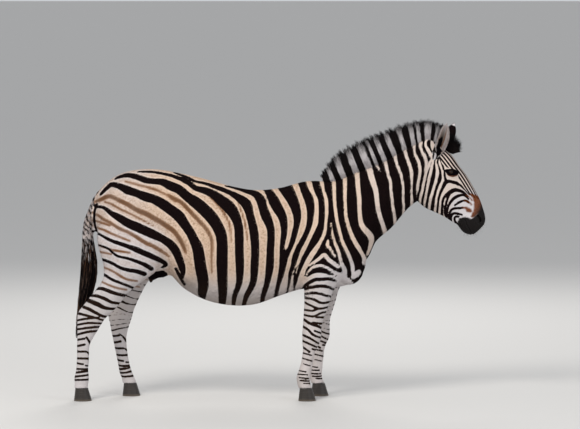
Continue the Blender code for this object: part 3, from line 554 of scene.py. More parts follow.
NECK_CREAMS = [
    # pale bars in the dark of neck and shoulder
    [(25, 139, 2.4), (25.2, 130, 2.4), (25.9, 125, 2.3), (27.5, 120, 2.5), (27.8, 115, 2.4),
     (27.7, 110, 2.3), (27.2, 105, 2), (26.5, 100, 2.4), (24.1, 95, 2.7), (21.3, 90, 3), (18, 85, 3),
     (15.3, 80, 2.8), (14, 77, 2.4), (12.5, 71, 2)],
    [(30.6, 106, 1.1), (30.6, 103.5, 1.5), (30.9, 101, 1.6), (31.4, 98.6, 1.7), (32.6, 94.2, 2),
     (34.4, 90, 2.2), (35.4, 86.7, 2.1), (36.7, 81.7, 2.3), (38.3, 78.5, 2.8), (38.6, 75.6, 3.2),
     (36.8, 71, 4.4)],
    [(31.2, 139, 2.5), (32.3, 130, 2.5), (32.5, 120, 2.3), (33, 115, 2.2), (33.5, 110, 2.2),
     (34.5, 105, 2.2), (35.7, 100, 2.2), (37.1, 95, 2.2), (39.4, 90, 2.3), (41.7, 85, 2.4), (43.3, 80, 2.5),
     (43.5, 77, 2.3), (43.6, 75.6, 2)],
    [(38.7, 139, 2.6), (38.9, 130, 2.6), (38.8, 120, 2.2), (39, 115, 2.2), (39.3, 110, 2.3),
     (40.5, 105, 2.4), (42.1, 100, 2.6), (44.4, 95, 2.8), (47.4, 90, 2.8), (49.2, 87, 2.4), (50.6, 84, 3),
     (50.4, 82, 3.2)],
    [(46, 142, 3), (46.4, 130, 3), (47.3, 120, 2.8), (47.4, 115, 2.7), (47.7, 110, 2.8), (48.5, 105, 3.2),
     (50.5, 102, 3.6), (54, 98, 4), (54.7, 95, 3.4), (53.9, 91, 2.5), (52.5, 87, 2)],
    [(52.5, 144, 3.6), (54.2, 135, 3.8), (55.6, 130, 3.6), (57.2, 125, 3.2), (57.8, 120, 3),
     (58.4, 115, 2.9), (59.6, 110, 2.8), (61.3, 105, 2.8), (63.1, 100, 3), (65, 95, 3)],
    [(56.4, 145, 2), (57.6, 141, 1.8), (59.2, 138, 1.4), (60.2, 135, 0.5)],
    [(62.4, 148, 2.2), (63, 143, 2.2), (63.5, 140, 2.1), (64.5, 135, 2.1), (66, 130, 2.1), (66.3, 125, 2.1),
     (66.9, 120, 2.1), (67.5, 115, 2.1), (68.5, 110, 2.1), (69, 106, 2.2), (70, 100, 2.2)],
    [(67.8, 151, 2.4), (68.7, 147, 2.2), (69.3, 143, 2), (70.2, 140, 1.9), (72.1, 135, 1.9),
     (73.2, 130, 1.9), (73.6, 125, 1.8), (73.6, 120, 1.8), (74.1, 115, 1.8), (73.8, 108, 1.8)],
    [(74, 155, 2.3), (74.6, 150, 2.2), (75.8, 145, 2.1), (77.5, 140, 2.2), (78.5, 136, 2.3),
     (78.6, 130, 1.8), (78.5, 125, 1.6), (78.9, 120, 1.9), (79.2, 114, 2)],
    [(80.6, 157, 2.1), (80.3, 152, 1.8), (80.4, 148, 1.5), (81, 146, 1.8), (82, 144, 1.9), (83, 141.5, 2),
     (83.6, 138, 2), (83.4, 134, 1.9), (82.6, 130, 2), (82.2, 126, 1.9), (82, 124, 1.1),
     (81.8, 121.3, 0.4)],
    [(84.8, 158, 2.4), (84, 152, 2.2), (84.4, 150, 1.7), (85, 148, 1.8), (86.2, 146, 2.2), (87, 144, 2.1),
     (87.4, 142, 2), (87.2, 140, 1.4), (86.6, 138, 1), (86.1, 136.6, 0.4)],
    [(89.5, 158, 1.6), (88.5, 156, 1.4), (87.2, 154.5, 1.3), (87.1, 152, 1.6), (88.1, 150, 2),
     (89.2, 148, 2.2), (90.6, 146, 1.9), (91.3, 144.8, 0.8)],
    [(89.2, 145.8, 0.8), (90.6, 144.2, 1), (89.5, 142, 1.6), (89, 140, 1.9), (87.9, 138, 2),
     (87.3, 136, 1.9), (86.8, 134, 1.8), (86.5, 132, 1.9), (86, 130, 1.8), (85.6, 128, 1.9),
     (85.3, 126, 1.8), (84.8, 124, 2), (84.3, 122, 2), (84, 120, 1.7), (84, 117, 1.2)],
    [(91.7, 144.2, 1), (91.2, 142, 1.6), (90.8, 140, 1.6), (90.4, 138, 1.8), (90, 136, 1.9),
     (89.5, 134, 1.9), (89, 132, 1.9), (88.7, 130, 1.9), (88.3, 128, 1.8), (88, 126, 1.7), (87.6, 124, 1.6),
     (87.2, 122, 1.7), (86.9, 120, 1.7), (86.6, 118, 1.5), (86.4, 113, 1.4)],
    [(93.6, 144, 0.8), (93.1, 142, 0.9), (93.5, 140, 1.6), (93.8, 138, 1.8), (94, 136, 2.1),
     (93.8, 134, 2.1), (93.3, 132, 1.9), (92.9, 130, 2), (92.2, 128, 1.9), (91.7, 126, 1.9),
     (91.1, 124, 1.9), (90.5, 122, 1.9), (90, 120, 1.9), (89.7, 118, 1.9), (89.5, 116, 1.8),
     (89.3, 111, 1.6)],
    [(95.6, 144.8, 0.8), (95.3, 143, 1.1), (95.3, 141.5, 1.3), (96.1, 139.5, 1.5), (96.8, 137.5, 1.6),
     (97.3, 135, 1.7), (97.6, 132.5, 2.1), (97.2, 130.5, 2.2), (95.8, 128, 1.9), (95.2, 126, 1.9),
     (94.5, 124, 2), (94, 122, 1.8), (93.5, 120, 1.7), (93.3, 118, 1.8), (93.1, 116, 1.7),
     (92.8, 111, 1.6)],
    [(93.8, 151, 0.8), (93.2, 148.6, 1), (93.6, 147, 1), (94.8, 145.8, 0.9)],
    [(28.7, 95.4, 1.4), (28.4, 93.8, 2.2), (28.3, 92.4, 2.4), (29.8, 90.6, 2.1), (31.5, 87.8, 1.7),
     (32.9, 85.6, 1.2)],
    [(17.8, 80.6, 1), (20, 82.2, 1.8), (23.3, 84.4, 2.2), (26.5, 87, 2.4), (28.8, 84, 2.6), (32, 81.7, 2.7),
     (34.8, 79.5, 2.2)],
    [(15.5, 74.5, 1), (17, 76.5, 1.4), (19, 79, 1.8), (23, 80.3, 2), (26, 80, 2), (30, 78, 2),
     (33, 76, 2.2), (38, 74.5, 2.6)],
    [(16, 72, 1.4), (18, 73.7, 1.6), (21, 75, 1.8), (25, 75.2, 1.8), (28.5, 74.4, 1.8), (33, 73, 2.2)],
    [(43.8, 73.6, 3.2), (45.6, 75, 3.8), (47.2, 76.4, 3.2)],
    [(90.9, 155.2, 1.2), (91.2, 153, 2.6), (92.1, 150, 3.2), (93.6, 147.4, 2.4)],
]
DARK_GROUND = [
    # round the part of neck and shoulder that is dark with pale bars
    (25, 175), (25, 139), (25.2, 130), (25.9, 125), (27.5, 120), (27.8, 115), (27.7, 110), (27.2, 105),
    (26.5, 100), (24.1, 95), (21.3, 90), (18, 85), (15.3, 80), (14, 77), (14.2, 74), (16, 72.2), (18, 73.7),
    (21, 75), (25, 75.2), (28.5, 74.4), (33, 73.6), (38.8, 74.6), (43.2, 69.9), (45, 67), (55, 62),
    (90, 95), (92.8, 105), (92.8, 111), (93.1, 116), (93.3, 118), (93.5, 120), (94, 122), (94.5, 124),
    (95.2, 126), (95.8, 128), (97.2, 130.5), (97.6, 132.5), (97.3, 135), (96.8, 137.5), (96.1, 139.5),
    (95.3, 141.5), (95.3, 143), (95.6, 144.8), (96.6, 149), (97, 175),
]
FACE_LINES = [
    # black, on cheek and brow
    [(94.2, 111, 1), (94.4, 116, 1), (94.6, 118, 1), (94.8, 120, 1.1), (95.3, 122, 1.2), (96, 124, 1.3),
     (96.9, 126, 1.5), (97.8, 128, 1.8), (99, 130, 2.2), (101, 130.6, 1.7), (103, 130.2, 1.6),
     (105.4, 129.6, 1.7), (106.6, 128.8, 1.4), (107.6, 128.4, 0.9), (109, 127.3, 1), (110.6, 125.9, 1),
     (112, 124.2, 0.9), (113.6, 122.7, 0.7)],
    [(98, 137.5, 0.5), (98.3, 135, 0.9), (98.6, 132.5, 1.2), (99.3, 131, 1.6)],
    [(96.9, 108.5, 1.4), (97, 113, 1.2), (97.1, 117, 1.1), (97.5, 119.6, 1.2), (98.6, 121.6, 1.4),
     (100.2, 123, 1.9), (102.2, 124.4, 2.3), (104.4, 125.4, 2.1), (106.8, 125.2, 1.7), (109, 124.4, 1.4),
     (110.8, 123.1, 1.1), (112, 121.6, 0.8)],
    [(98.9, 110.5, 0.8), (99, 115.2, 1), (99.4, 117.5, 1.1), (99.9, 119.5, 1.1), (100.6, 121.6, 1.2),
     (101.4, 123, 1.2)],
    [(99.6, 107.5, 1.3), (100, 112, 1.1), (100.3, 114, 1.1), (101, 116.2, 1.2), (102.3, 118.6, 1.3),
     (104, 120.4, 1.6), (106, 121.6, 1.6), (108, 122.3, 1.4), (110, 122.3, 1.1), (111.6, 121.2, 0.9),
     (112.8, 120, 0.8)],
    [(104.6, 116.4, 0.7), (106.2, 117.4, 1.1), (108, 118.4, 1.1), (110, 119.1, 1), (111.7, 118.9, 1),
     (113, 117.8, 0.8)],
    [(100.8, 106, 1.6), (101.4, 109, 1), (101.5, 111, 1), (102.2, 113, 1.1), (103.6, 114.1, 1.2),
     (105.5, 114.5, 1.2), (107.5, 114.5, 1.1), (109.4, 114.8, 0.8)],
    [(102.5, 105.4, 1.6), (102.4, 109, 1.2), (103.2, 110.8, 1.3), (104.8, 111.5, 1.2), (106.8, 111.2, 1),
     (109, 110.5, 0.8)],
    [(105.9, 105, 1.4), (104.8, 107, 1), (104.5, 108.4, 1), (105.2, 109.4, 1), (106.9, 109.4, 1)],
    [(96.6, 148, 0.8), (97.4, 145, 0.9), (98, 143, 1), (98.8, 141.5, 1), (100.2, 140.3, 0.9),
     (101.4, 139.9, 0.6)],
    [(94.8, 146.5, 0.7), (96, 143.5, 1), (97, 140.6, 1), (97.6, 137.8, 0.8)],
]
RUST_LINES = [
    # the saddle above the muzzle, and what runs back from it
    [(109.2, 114.9, 0.8), (111.2, 114.6, 1.5), (112.6, 113.5, 2.7), (113.6, 113.1, 2.5)],
    [(110.2, 119.1, 0.8), (112.6, 118.3, 1.2), (114.6, 116.6, 1.1)],
    [(111.6, 122.4, 0.7), (113.6, 120.8, 0.8), (115, 119.2, 0.8)],
    [(114, 123, 0.8), (116.2, 121.6, 2.4), (118, 119.6, 4.6), (119, 117, 5.6), (118.5, 114.2, 4.8),
     (117, 111.8, 3.4), (115.3, 109.7, 2)],
]
MUZZLE_EDGE = [
    (124, 119.4), (121.4, 118), (120, 116.6), (119.1, 114.8), (118, 113), (117, 111), (115.6, 109.2),
    (113.9, 108.2), (112.4, 108.9), (109.9, 109.3), (107.5, 108.6), (106.8, 107), (105.6, 104.6), (105, 98),
    (126, 98), (126, 119.4),
]
FORELEG_BANDS = [
    # black, from the elbow down
    [(14, 67, 1), (15, 68.4, 1.6), (18.2, 70.6, 1.9), (21.1, 72, 1.9), (24.6, 72.2, 1.8), (29.5, 72.4, 1.7),
     (33.5, 71, 1)],
    [(13, 65.6, 1), (15.2, 66.4, 1.3), (19.7, 67.6, 1.7), (24.6, 68.1, 1.7), (28.5, 67.6, 1.6),
     (33.5, 65.4, 0.9)],
    [(13, 62.6, 1), (18.2, 63.9, 1.3), (22.6, 63.8, 1.4), (26.5, 62.7, 1.3), (32.6, 61, 0.9)],
    [(13, 61.2, 0.9), (19.7, 60.3, 1.3), (22.6, 58.8, 1.3), (26, 57.9, 1.2), (31, 58.9, 0.9)],
    [(13.4, 59, 0.8), (16, 57.6, 1), (19.7, 55.8, 1.1), (23.1, 54.6, 1.1), (27, 55, 1), (31, 56.2, 0.8)],
    [(13, 54, 0.9), (16.2, 53.6, 1), (19.2, 53.3, 1), (22.6, 54.2, 0.7)],
    [(12.6, 51.2, 0.9), (18.7, 49.9, 1), (21.1, 50.2, 1), (24.6, 51.9, 0.9), (29.5, 52.8, 0.8)],
    [(21.5, 49.4, 0.8), (26.5, 49.2, 1.1), (30, 49, 0.8)],
    [(12.4, 48.6, 1), (14.3, 48, 1.2), (17.2, 46, 1.4), (21.6, 44.3, 1.3), (27, 42, 0.9)],
    [(19.7, 46.3, 0.8), (24.6, 45.5, 1), (27.5, 45.2, 0.8)],
    [(12, 44.4, 0.9), (14, 43.6, 1.1), (17.2, 41.6, 1.2), (19.7, 38.9, 1.2), (24.5, 37, 0.8)],
    [(20.6, 41.3, 0.8), (25.5, 39.4, 0.8)],
    [(11.6, 39.6, 0.9), (16.7, 37.4, 1.1), (19.7, 35.7, 1), (23.4, 33.4, 0.7)],
    [(11.6, 35.9, 0.9), (16.2, 34, 1), (22.4, 31.2, 0.8)],
    [(12, 32.6, 0.8), (17.7, 28.6, 1)],
    [(19.4, 30.3, 0.8), (23.6, 29, 0.7)],
    [(12, 28.4, 0.6), (18.8, 26.5, 0.7)],
    [(12, 25.2, 0.5), (19, 23.1, 0.7)],
    [(14, 21.4, 0.4), (18, 20.2, 0.5)],
    [(10.5, 17.4, 0.4), (15.5, 16.6, 0.5)],
    [(10.5, 15.2, 0.5), (16.4, 14.8, 0.6)],
    [(11.5, 13.2, 0.5), (17, 12.6, 0.6)],
    [(12, 11.4, 0.6), (17.4, 11, 0.6)],
    [(14, 9.8, 0.4), (18, 9.4, 0.5)],
]
HINDLEG_BANDS = [
    # black, from the hock down
    [(-122, 52, 1), (-119.6, 51.5, 1.2), (-111.8, 49.7, 1), (-105, 47.4, 0.8)],
    [(-122, 47.2, 0.8), (-116, 48.5, 1.1), (-108, 49.3, 0.8)],
    [(-122, 44.6, 0.8), (-114, 46, 1.1), (-106, 45.6, 0.8)],
    [(-122, 42, 0.9), (-111.8, 43.4, 1.1), (-106, 43.6, 0.7)],
    [(-122, 38.6, 0.9), (-115.4, 40.5, 1.2), (-109, 41.2, 0.9)],
    [(-122, 35.7, 1), (-116.5, 36.6, 1)],
    [(-115.4, 37.4, 0.9), (-113.9, 35, 1), (-112.4, 31, 0.8)],
    [(-123, 31.7, 0.9), (-116.5, 33, 1.1)],
    [(-123, 28.8, 1), (-116, 28.8, 1)],
    [(-115.2, 28.6, 0.8), (-111, 24, 0.8)],
    [(-123, 24.8, 1), (-112, 24.5, 1)],
    [(-123, 22, 1), (-117.5, 21.2, 0.9)],
    [(-116, 20.4, 0.7), (-111, 19.6, 0.7)],
    [(-124, 18.4, 0.9), (-115, 18.2, 0.9)],
    [(-124, 15.8, 1), (-114, 17.2, 0.9)],
    [(-124, 13.6, 1), (-112, 15, 0.9)],
    [(-124, 11.6, 0.9), (-114, 12, 0.9)],
]
LEFT_SWAY = 0.022         # how far the left side's stripes stray from a mirror of the right
# what a stripe gains, because its soft edges take from it: everywhere, on the haunch, on the rump
BAND_SWELL, HAUNCH_SWELL, RUMP_SWELL = 0.0019, 0.0014, 0.0016
BACK_LOSS = 0.0030        # and what it loses over the top of the back
CREAM_SWELL, CREST_SWELL = 0.0016, 0.0007
SPINE_HALF = 0.0045
INNER_LOSS = 0.0052
BAND_END, MARK_END = 0.04, 0.03    # distances are kept up to these
ALL_DARK, ALL_PALE = -0.03, 0.02   # distances of hair that is all inside a stripe, or all outside


def read_levels(heights, places, middle_of, half):
    """What is found at each height, leaving out the heights where nothing is."""
    found = []
    for height in heights:
        level = places[np.abs(places[:, 2] - height) < half, 0]
        found.append(middle_of(level) if len(level) else np.nan)
    found = np.array(found)
    good = ~np.isnan(found)
    return heights[good], found[good]


def leg_line(names):
    """The middle of a leg, front to back, at each height."""
    corners = np.concatenate([node_shape(name)[0] for name in names])
    return read_levels(np.arange(0.09, 0.72, 0.03), corners, lambda x: (x.min() + x.max()) / 2, 0.03)


leg_lines = {(end, side): leg_line([f"{end}_upper_{side}", f"{end}_lower_{side}"])
             for end in ("fore", "hind") for side in "RL"}


def leg_shift(px, py, pz):
    """How far a place on a left leg moves to lie on the right one."""
    low = fade(pz, 0.62, 0.84)
    level = np.clip(pz, 0.09, 0.70)
    shift = np.zeros_like(px)
    for end, here in (("fore", px > -0.30), ("hind", px <= -0.30)):
        middle = {s: np.interp(level, *leg_lines[end, s]) for s in "RL"}
        shift += here * (middle["R"] - middle["L"])
    return shift * low * (py > 0)


def profile_line(points, normals):
    """The front of the face from brow to lip: how far forward the midline is at each height."""
    middle = (np.abs(points[:, 1]) < 0.014) & (points[:, 0] > 0.9) & (normals[:, 0] > 0.3)
    heights, fronts = read_levels(np.arange(1.00, 1.52, 0.01), points[middle], np.mean, 0.012)
    return heights, np.convolve(np.pad(fronts, 2, "edge"), np.ones(5) / 5, "valid")


# the lines down the bridge of the nose: how far back they go, and their pitch, at each height
BRIDGE_REACH = [
    (118.4, -1.5), (119.6, 0.4), (121.2, 3.4), (123, 4.2), (126, 4.9), (129, 5.5), (132, 5.2), (134, 4.4),
    (137, 3.4), (138.3, 6), (139, 7.4), (141, 8.4), (144, 7.4), (147, 5.6), (150, 4.5),
]
BRIDGE_PITCH = [
    (118, 1.3), (121, 1.45), (126, 1.6), (132, 1.75), (138, 1.9), (144, 2.0), (150, 2.05),
]
EYE_SURROUND = [
    (97.9, 137.3), (99.4, 137.9), (102.3, 138.1), (104.4, 137.8), (106.1, 136.6), (106.9, 135.3),
    (105.7, 134.4), (103.3, 133.9), (101, 134.1), (99.3, 135.3),
]
SHEATH = [
    (-81.5, 75), (-79, 76.4), (-74, 76.6), (-69.5, 77.2), (-67.5, 75.5), (-68, 71), (-72, 68), (-78, 66),
    (-81, 70),
]
EYE_RIM = [[(99.8, 134.8, 0.6), (101.4, 133.9, 0.8), (103.6, 133.6, 0.8), (106, 134.3, 0.7)]]
NOSE_SLOPE = 0.87         # turns a level distance into one square to the bridge


def sway(points):
    """A slow wave that keeps the two sides from matching."""
    px, _, pz = points.T
    return (np.sin(px * 9.0 + pz * 5.0 + 1.3) + np.sin(px * 4.1 - pz * 11.0 + 0.4),
            np.sin(px * 6.3 - pz * 4.0 + 2.2) + np.sin(px * 13.0 + pz * 7.0))


def paleness(px, pz):
    """Where the warm cream of the back gives way to white: lower haunch, legs, face and breast."""
    haunch = fade(pz, 0.94, 1.20) * fade(px, -0.82, -0.54)
    barrel = 0.75 * fade(pz, 0.60, 0.84)
    shoulder = 0.85 * fade(pz, 0.74, 0.98) * smooth_step(px, 0.06, 0.26)
    neck = 0.42 * smooth_step(px, 0.34, 0.62)
    cheek = smooth_step(px, 0.96, 1.06) * fade(pz, 1.16, 1.36)
    rump = 0.50 * fade(px, -0.90, -0.62)
    return np.maximum.reduce([haunch, barrel, shoulder, neck, cheek, rump])


def band_edge(px, py, pz, height):
    """Distance to the edge of the nearest black stripe, negative inside it."""
    dark = to_lines(px, pz, BODY_BANDS + HAUNCH_BANDS + FORELEG_BANDS + HINDLEG_BANDS + FACE_LINES)
    spine = (px < -0.15) & (px > -1.06) & (height > 1.15)
    dark = np.where(spine, np.minimum(dark, np.abs(py) - SPINE_HALF), dark)
    haunch = fade(px, -0.84, -0.66) * fade(pz, 0.88, 1.06) * smooth_step(pz, 0.48, 0.60)
    rump = fade(px, -0.62, -0.50) * smooth_step(pz, 0.98, 1.06)
    back = smooth_step(pz, 1.25, 1.31) * fade(px, -0.30, -0.05)
    return dark + BACK_LOSS * back - BAND_SWELL - HAUNCH_SWELL * haunch - RUMP_SWELL * rump


def clipped(values, end):
    return np.clip(values, -end, end)


def marks_at(points, profile):
    """All markings, and the painted shade of the underside, at some places: a name for each and its value at
    each place.
    """
    px, py, pz = points.T.copy()
    height = points[:, 2]
    body = fade(px, 0.78, 0.95)
    off = smooth_step(py, 0.0, 0.07) * LEFT_SWAY * (0.25 + 0.75 * body)
    off = off * (0.3 + 0.7 * smooth_step(pz, 0.5, 0.8))
    wave = sway(points)
    px = px + leg_shift(px, py, pz) + off * wave[0] / 2
    pz = pz - SIDE_LIFT * np.abs(py) + off * wave[1] / 2
    dark = band_edge(px, py, pz, height)
    creams = -to_lines(px, pz, NECK_CREAMS) - CREAM_SWELL + CREST_SWELL * smooth_step(pz, 1.30, 1.40)
    down = np.maximum((np.interp(height, *profile) - points[:, 0]) * NOSE_SLOPE, 0)
    reach, pitch = (np.interp(pz / CM, *np.array(rows).T) * CM for rows in (BRIDGE_REACH, BRIDGE_PITCH))
    sheath = np.maximum(to_outline(px, pz, SHEATH), np.abs(py) - 0.12)
    pale = paleness(px, pz)
    # painted shade: grey-brown darkening under the belly and low on the flank in front of the thigh
    belly = fade(height, 0.58, 0.68) * smooth_step(px, -0.8, -0.6) * fade(px, 0.05, 0.15)
    flank = 0.7 * fade(height, 0.70, 0.79) * fade(np.abs(px + 0.60), 0.06, 0.20)
    middles = smooth_step(np.minimum(dark, 0.05), 0.003, 0.012) * smooth_step(pz, 0.66, 0.80)
    return {
        "band": clipped(np.where(within(px, pz, DARK_GROUND), creams, dark), BAND_END),
        "shadow": clipped(to_lines(px, pz, SHADOW_STRIPES), MARK_END),
        "bridge": down / pitch + 1 - np.exp(-(points[:, 1] / 0.017) ** 2),
        "on_bridge": np.where((px > 0.93) & (pz > 1.17), reach - down, -0.05),
        "muzzle": clipped(to_outline(px, pz, MUZZLE_EDGE), BAND_END),
        "rust": clipped(to_lines(px, pz, RUST_LINES), MARK_END),
        "dark_skin_and_shade": clipped(np.minimum(to_outline(px, pz, EYE_SURROUND), sheath), MARK_END),
        "eye_brown": clipped(to_lines(px, pz, EYE_RIM), MARK_END),
        "pale": pale,
        "mid_cream": middles * fade(px, 0.10, 0.30) * (1 - 0.6 * pale),
        "under": np.maximum(belly, flank),
    }


def plain_marks(count, band, pale=1.0):
    """Marks of one plain colour: band below nothing is black, above it pale."""
    flat = {"band": band, "shadow": MARK_END, "bridge": 0.0, "on_bridge": -0.05, "muzzle": BAND_END,
            "rust": MARK_END, "dark_skin_and_shade": MARK_END, "eye_brown": MARK_END, "mid_cream": 0.0, "under": 0.0,
            "pale": pale}
    return {name: np.full(count, value) for name, value in flat.items()}


def write_marks(mesh, marks):
    for name, values in marks.items():
        layer = mesh.attributes.new(name, "FLOAT", "POINT")
        layer.data.foreach_set("value", values.astype(np.float32))


points = points_of(skin_mesh)
profile = profile_line(points, normals_of(skin_mesh))
marks = marks_at(points, profile)
# inside the legs the bars thin out, and painted shade greys the hair there
inward = -normals_of(skin_mesh)[:, 1] * np.sign(points[:, 1])
inner = smooth_step(points[:, 2], 0.34, 0.46) * fade(points[:, 2], 0.66, 0.80)
inner = smooth_step(inward, 0.15, 0.75) * inner
marks["band"] = marks["band"] + INNER_LOSS * inner
marks["under"] = np.maximum(marks["under"], 0.55 * inner)
write_marks(skin_mesh, marks)
write_marks(skin_mesh, {"hair_upright": fade(points[:, 2], 0.55, 0.80)})

# ---- Ears -------------------------------------------------------------------------------
# Two thin upright leaves of gristle and skin, rolled nearly shut at the root and open above:
# the right one turned to the side, the left one away. Backs black below a white tip.
EAR_WALL = 0.0034
EAR_STEPS, EAR_AROUND = 36, 24
EAR_ROOT_TALL, EAR_ROOT_WIDE = 0.10, 0.026
EAR_HALF_WIDTHS = [0.024, 0.033, 0.0385, 0.0405, 0.0372, 0.0275, 0.0040]
EARS = {
    "R": ((0.929, -0.056, 1.462), (0.996, -0.090, 1.658), (0.42, -0.90, 0.0)),
    "L": ((0.945, 0.056, 1.462), (1.051, 0.088, 1.652), (0.50, 0.86, 0.0)),
}


def ear_place(side, t, share, thin):
    """A place on the ear: t from root to tip, share round the leaf, thin in from its back."""
    root, tip, opening = (np.array(v) for v in EARS[side])
    along = unit(tip - root)
    front = unit(opening - along * np.dot(opening, along))
    across = np.cross(along, front)
    at = np.clip(t, 0, 1)
    half = curved_value(EAR_HALF_WIDTHS, at) * (1 + 0.02 * np.sin(at * 17 + share * 5))
    wrap = 250 - 130 * at ** 0.7 + 85 * fade(t, 0.02, 0.26)
    angle = np.radians(wrap) * (share - 0.5)
    depth = half * (1 - 0.45 * at)
    bow = 0.014 * np.sin(math.pi * at)
    middle = root + (tip - root) * t[..., None] + bow[..., None] * np.array((1, 0, 0))
    roll = 0.0035 * smooth_step(np.abs(share - 0.5), 0.36, 0.5) * smooth_step(at, 0.3, 0.8)
    return (middle + across * ((half - thin) * np.sin(angle))[..., None]
            - front * ((depth - thin) * np.cos(angle) + roll)[..., None])


def curved_value(values, shares):
    """A value read off between evenly spaced ones, on a curve."""
    rows = curved([(v,) * 2 for v in values], 12)[:, 0]
    return np.interp(shares, np.linspace(0, 1, len(rows)), rows)


def smooth_mesh(name, shape):
    mesh = bpy.data.meshes.new(name)
    shape.to_mesh(mesh)
    shape.free()
    mesh.shade_smooth()
    return mesh


def ear_marks(side, t, share, inside):
    """Bands across the back, a stripe down its rear edge and dark edges; inside, brown streaks and the
    painted shade of the hollow.
    """
    band = np.minimum(np.abs(t - 0.73) * 0.20 - 0.036, np.abs(t - 0.16) * 0.20 - 0.013)
    rear = share if side == "R" else 1 - share
    band = np.minimum(band, np.abs(rear - 0.13) * 0.12 - 0.0055 + 0.05 * np.maximum(t - 0.84, 0))
    edge = np.minimum(share, 1 - share) * 0.12 - 0.0022 * smooth_step(t, 0.2, 0.5)
    # painted shade: the hollow darkens to grey-brown, and to black deep down near the root
    hollow = np.hypot((share - 0.47) * 0.11, (t - 0.40) * 0.06) - 0.022
    deep = np.hypot((share - 0.48) * 0.13, (t - 0.27) * 0.075) - 0.0205
    deep = deep + 0.007 * np.sin(share * 70 + t * 9) * t
    across, level = np.abs(np.abs(share - 0.49) - 0.17) * 0.12, np.abs(t - 0.52) * 0.05 - 0.012
    return {
        **plain_marks(len(t), 0.0),
        "band": np.where(inside, np.minimum(edge, 0.02), np.minimum(band, edge)),
        "dark_skin_and_shade": np.where(inside, deep, MARK_END),
        "shadow": np.where(inside, np.maximum(across, level) - 0.0020, MARK_END),
        "under": np.where(inside, 1.7 * fade(hollow, -0.012, 0.016), 0.0),
        "pale": np.where(inside, 0.8, 1.0),
        "hair_upright": np.zeros(len(t)),
    }


def make_ear(side):
    steps = EAR_STEPS
    t, share = np.meshgrid(np.linspace(-0.12, 1, steps), np.linspace(0, 1, EAR_AROUND), indexing="ij")
    edge = smooth_step(np.minimum(share, 1 - share), 0.0, 0.12)
    outer = ear_place(side, t, share, np.zeros_like(t))
    inner = ear_place(side, t, share, EAR_WALL * (0.25 + 0.75 * edge))
    rings = np.concatenate([outer, inner[:, ::-1]], axis=1)
    size = rings.shape[1]
    base = np.arange(steps - 1)[:, None] * size
    k = np.arange(size)
    n = (k + 1) % size
    quads = np.stack([base + k, base + n, base + size + n, base + size + k], -1).reshape(-1, 4)
    faces = [tuple(q) for q in quads.tolist()]
    faces.append(tuple(range(size))[::-1])
    faces.append(tuple(range((steps - 1) * size, steps * size)))
    shape = bmesh.new()
    corners = [shape.verts.new(p) for p in rings.reshape(-1, 3)]
    for face in faces:
        shape.faces.new([corners[i] for i in face])
    bmesh.ops.recalc_face_normals(shape, faces=shape.faces)
    bmesh.ops.triangulate(shape, faces=[f for f in shape.faces if len(f.verts) > 4])
    mesh = smooth_mesh(f"ear_leaf_{side}", shape)
    inside = np.concatenate([np.zeros_like(t), np.ones_like(t)], axis=1).ravel() > 0.5
    t, share = (np.concatenate([rows, rows[:, ::-1]], axis=1).ravel() for rows in (t, share))
    write_marks(mesh, ear_marks(side, t, share, inside))
    return add_piece(f"ear_leaf_{side}", mesh)


def paint_ear_root_shade():
    """Where the ears open, painted shade darkens the skin between their edges."""
    layer = skin_mesh.attributes["dark_skin_and_shade"].data
    gap = read(layer, "value")
    for root, tip, _ in EARS.values():
        axis = unit(np.array(tip) - np.array(root))
        off = points - np.array(root)
        along = off @ axis
        away = np.linalg.norm(off - along[:, None] * axis, axis=1) - EAR_ROOT_WIDE
        gap = np.where((along > 0.004) & (along < EAR_ROOT_TALL), np.minimum(gap, away), gap)
    layer.foreach_set("value", gap.astype(np.float32))


def join_ears():
    """The ears become one with the skin."""
    bpy.ops.object.select_all(action="DESELECT")
    for side in "RL":
        make_ear(side).select_set(True)
    skin.select_set(True)
    bpy.context.view_layer.objects.active = skin
    bpy.ops.object.join()
    skin.select_set(False)


paint_ear_root_shade()
join_ears()
skin_mesh = skin.data
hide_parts(*FLESH, "ear_R", "ear_L")

# ---- Skin: the coat's colours and grain -------------------------------------------------
# Short, close hair: warm cream on the back, whiter on legs and belly, with blackish brown
# stripes whose edges mix hair by hair, and a black muzzle with a rusty saddle above it.
# Grey-brown painted shade lies over the underside, the flank, the insides of the legs and
# the hollows of the ears.
BLACK_HAIR, BROWN_BLACK = (0.0042, 0.0028, 0.0036), (0.0125, 0.0066, 0.0058)
CREAM_HAIR, WHITE_HAIR = (0.705, 0.545, 0.43), (0.635, 0.60, 0.612)
SHADOW_HAIR, RUST_HAIR = (0.225, 0.112, 0.056), (0.150, 0.040, 0.010)
# painted shade: the first colour here is the grey-brown laid over the underside, the flank, the insides of
# the legs and the ear hollows
PAINTED_SHADE_BROWN, LID_BROWN = (0.13, 0.10, 0.078), (0.13, 0.046, 0.022)
DUST_HAIR, SHADOW_CORE, LEG_DARK = (0.37, 0.325, 0.29), (0.085, 0.044, 0.026), (0.026, 0.014, 0.009)
CREAM_CORE, MUZZLE_SKIN = (0.55, 0.37, 0.24), (0.0075, 0.0060, 0.0058)


def node(tree, kind, inputs=None, **settings):
    made = tree.nodes.new(kind)
    for key, value in settings.items():
        setattr(made, key, value)
    for key, value in (inputs or {}).items():
        if isinstance(value, bpy.types.NodeSocket):
            tree.links.new(value, made.inputs[key])
        elif isinstance(value, tuple) and len(value) == 3 and made.inputs[key].type == "RGBA":
            made.inputs[key].default_value = (*value, 1)
        else:
            made.inputs[key].default_value = value
    return made


def attribute(tree, name):
    return node(tree, "ShaderNodeAttribute", attribute_name=name).outputs["Fac"]


def reckoned(tree, operation, *values):
    return node(tree, "ShaderNodeMath", dict(enumerate(values)), operation=operation).outputs[0]


def plus(tree, first, second):
    return reckoned(tree, "ADD", first, second)


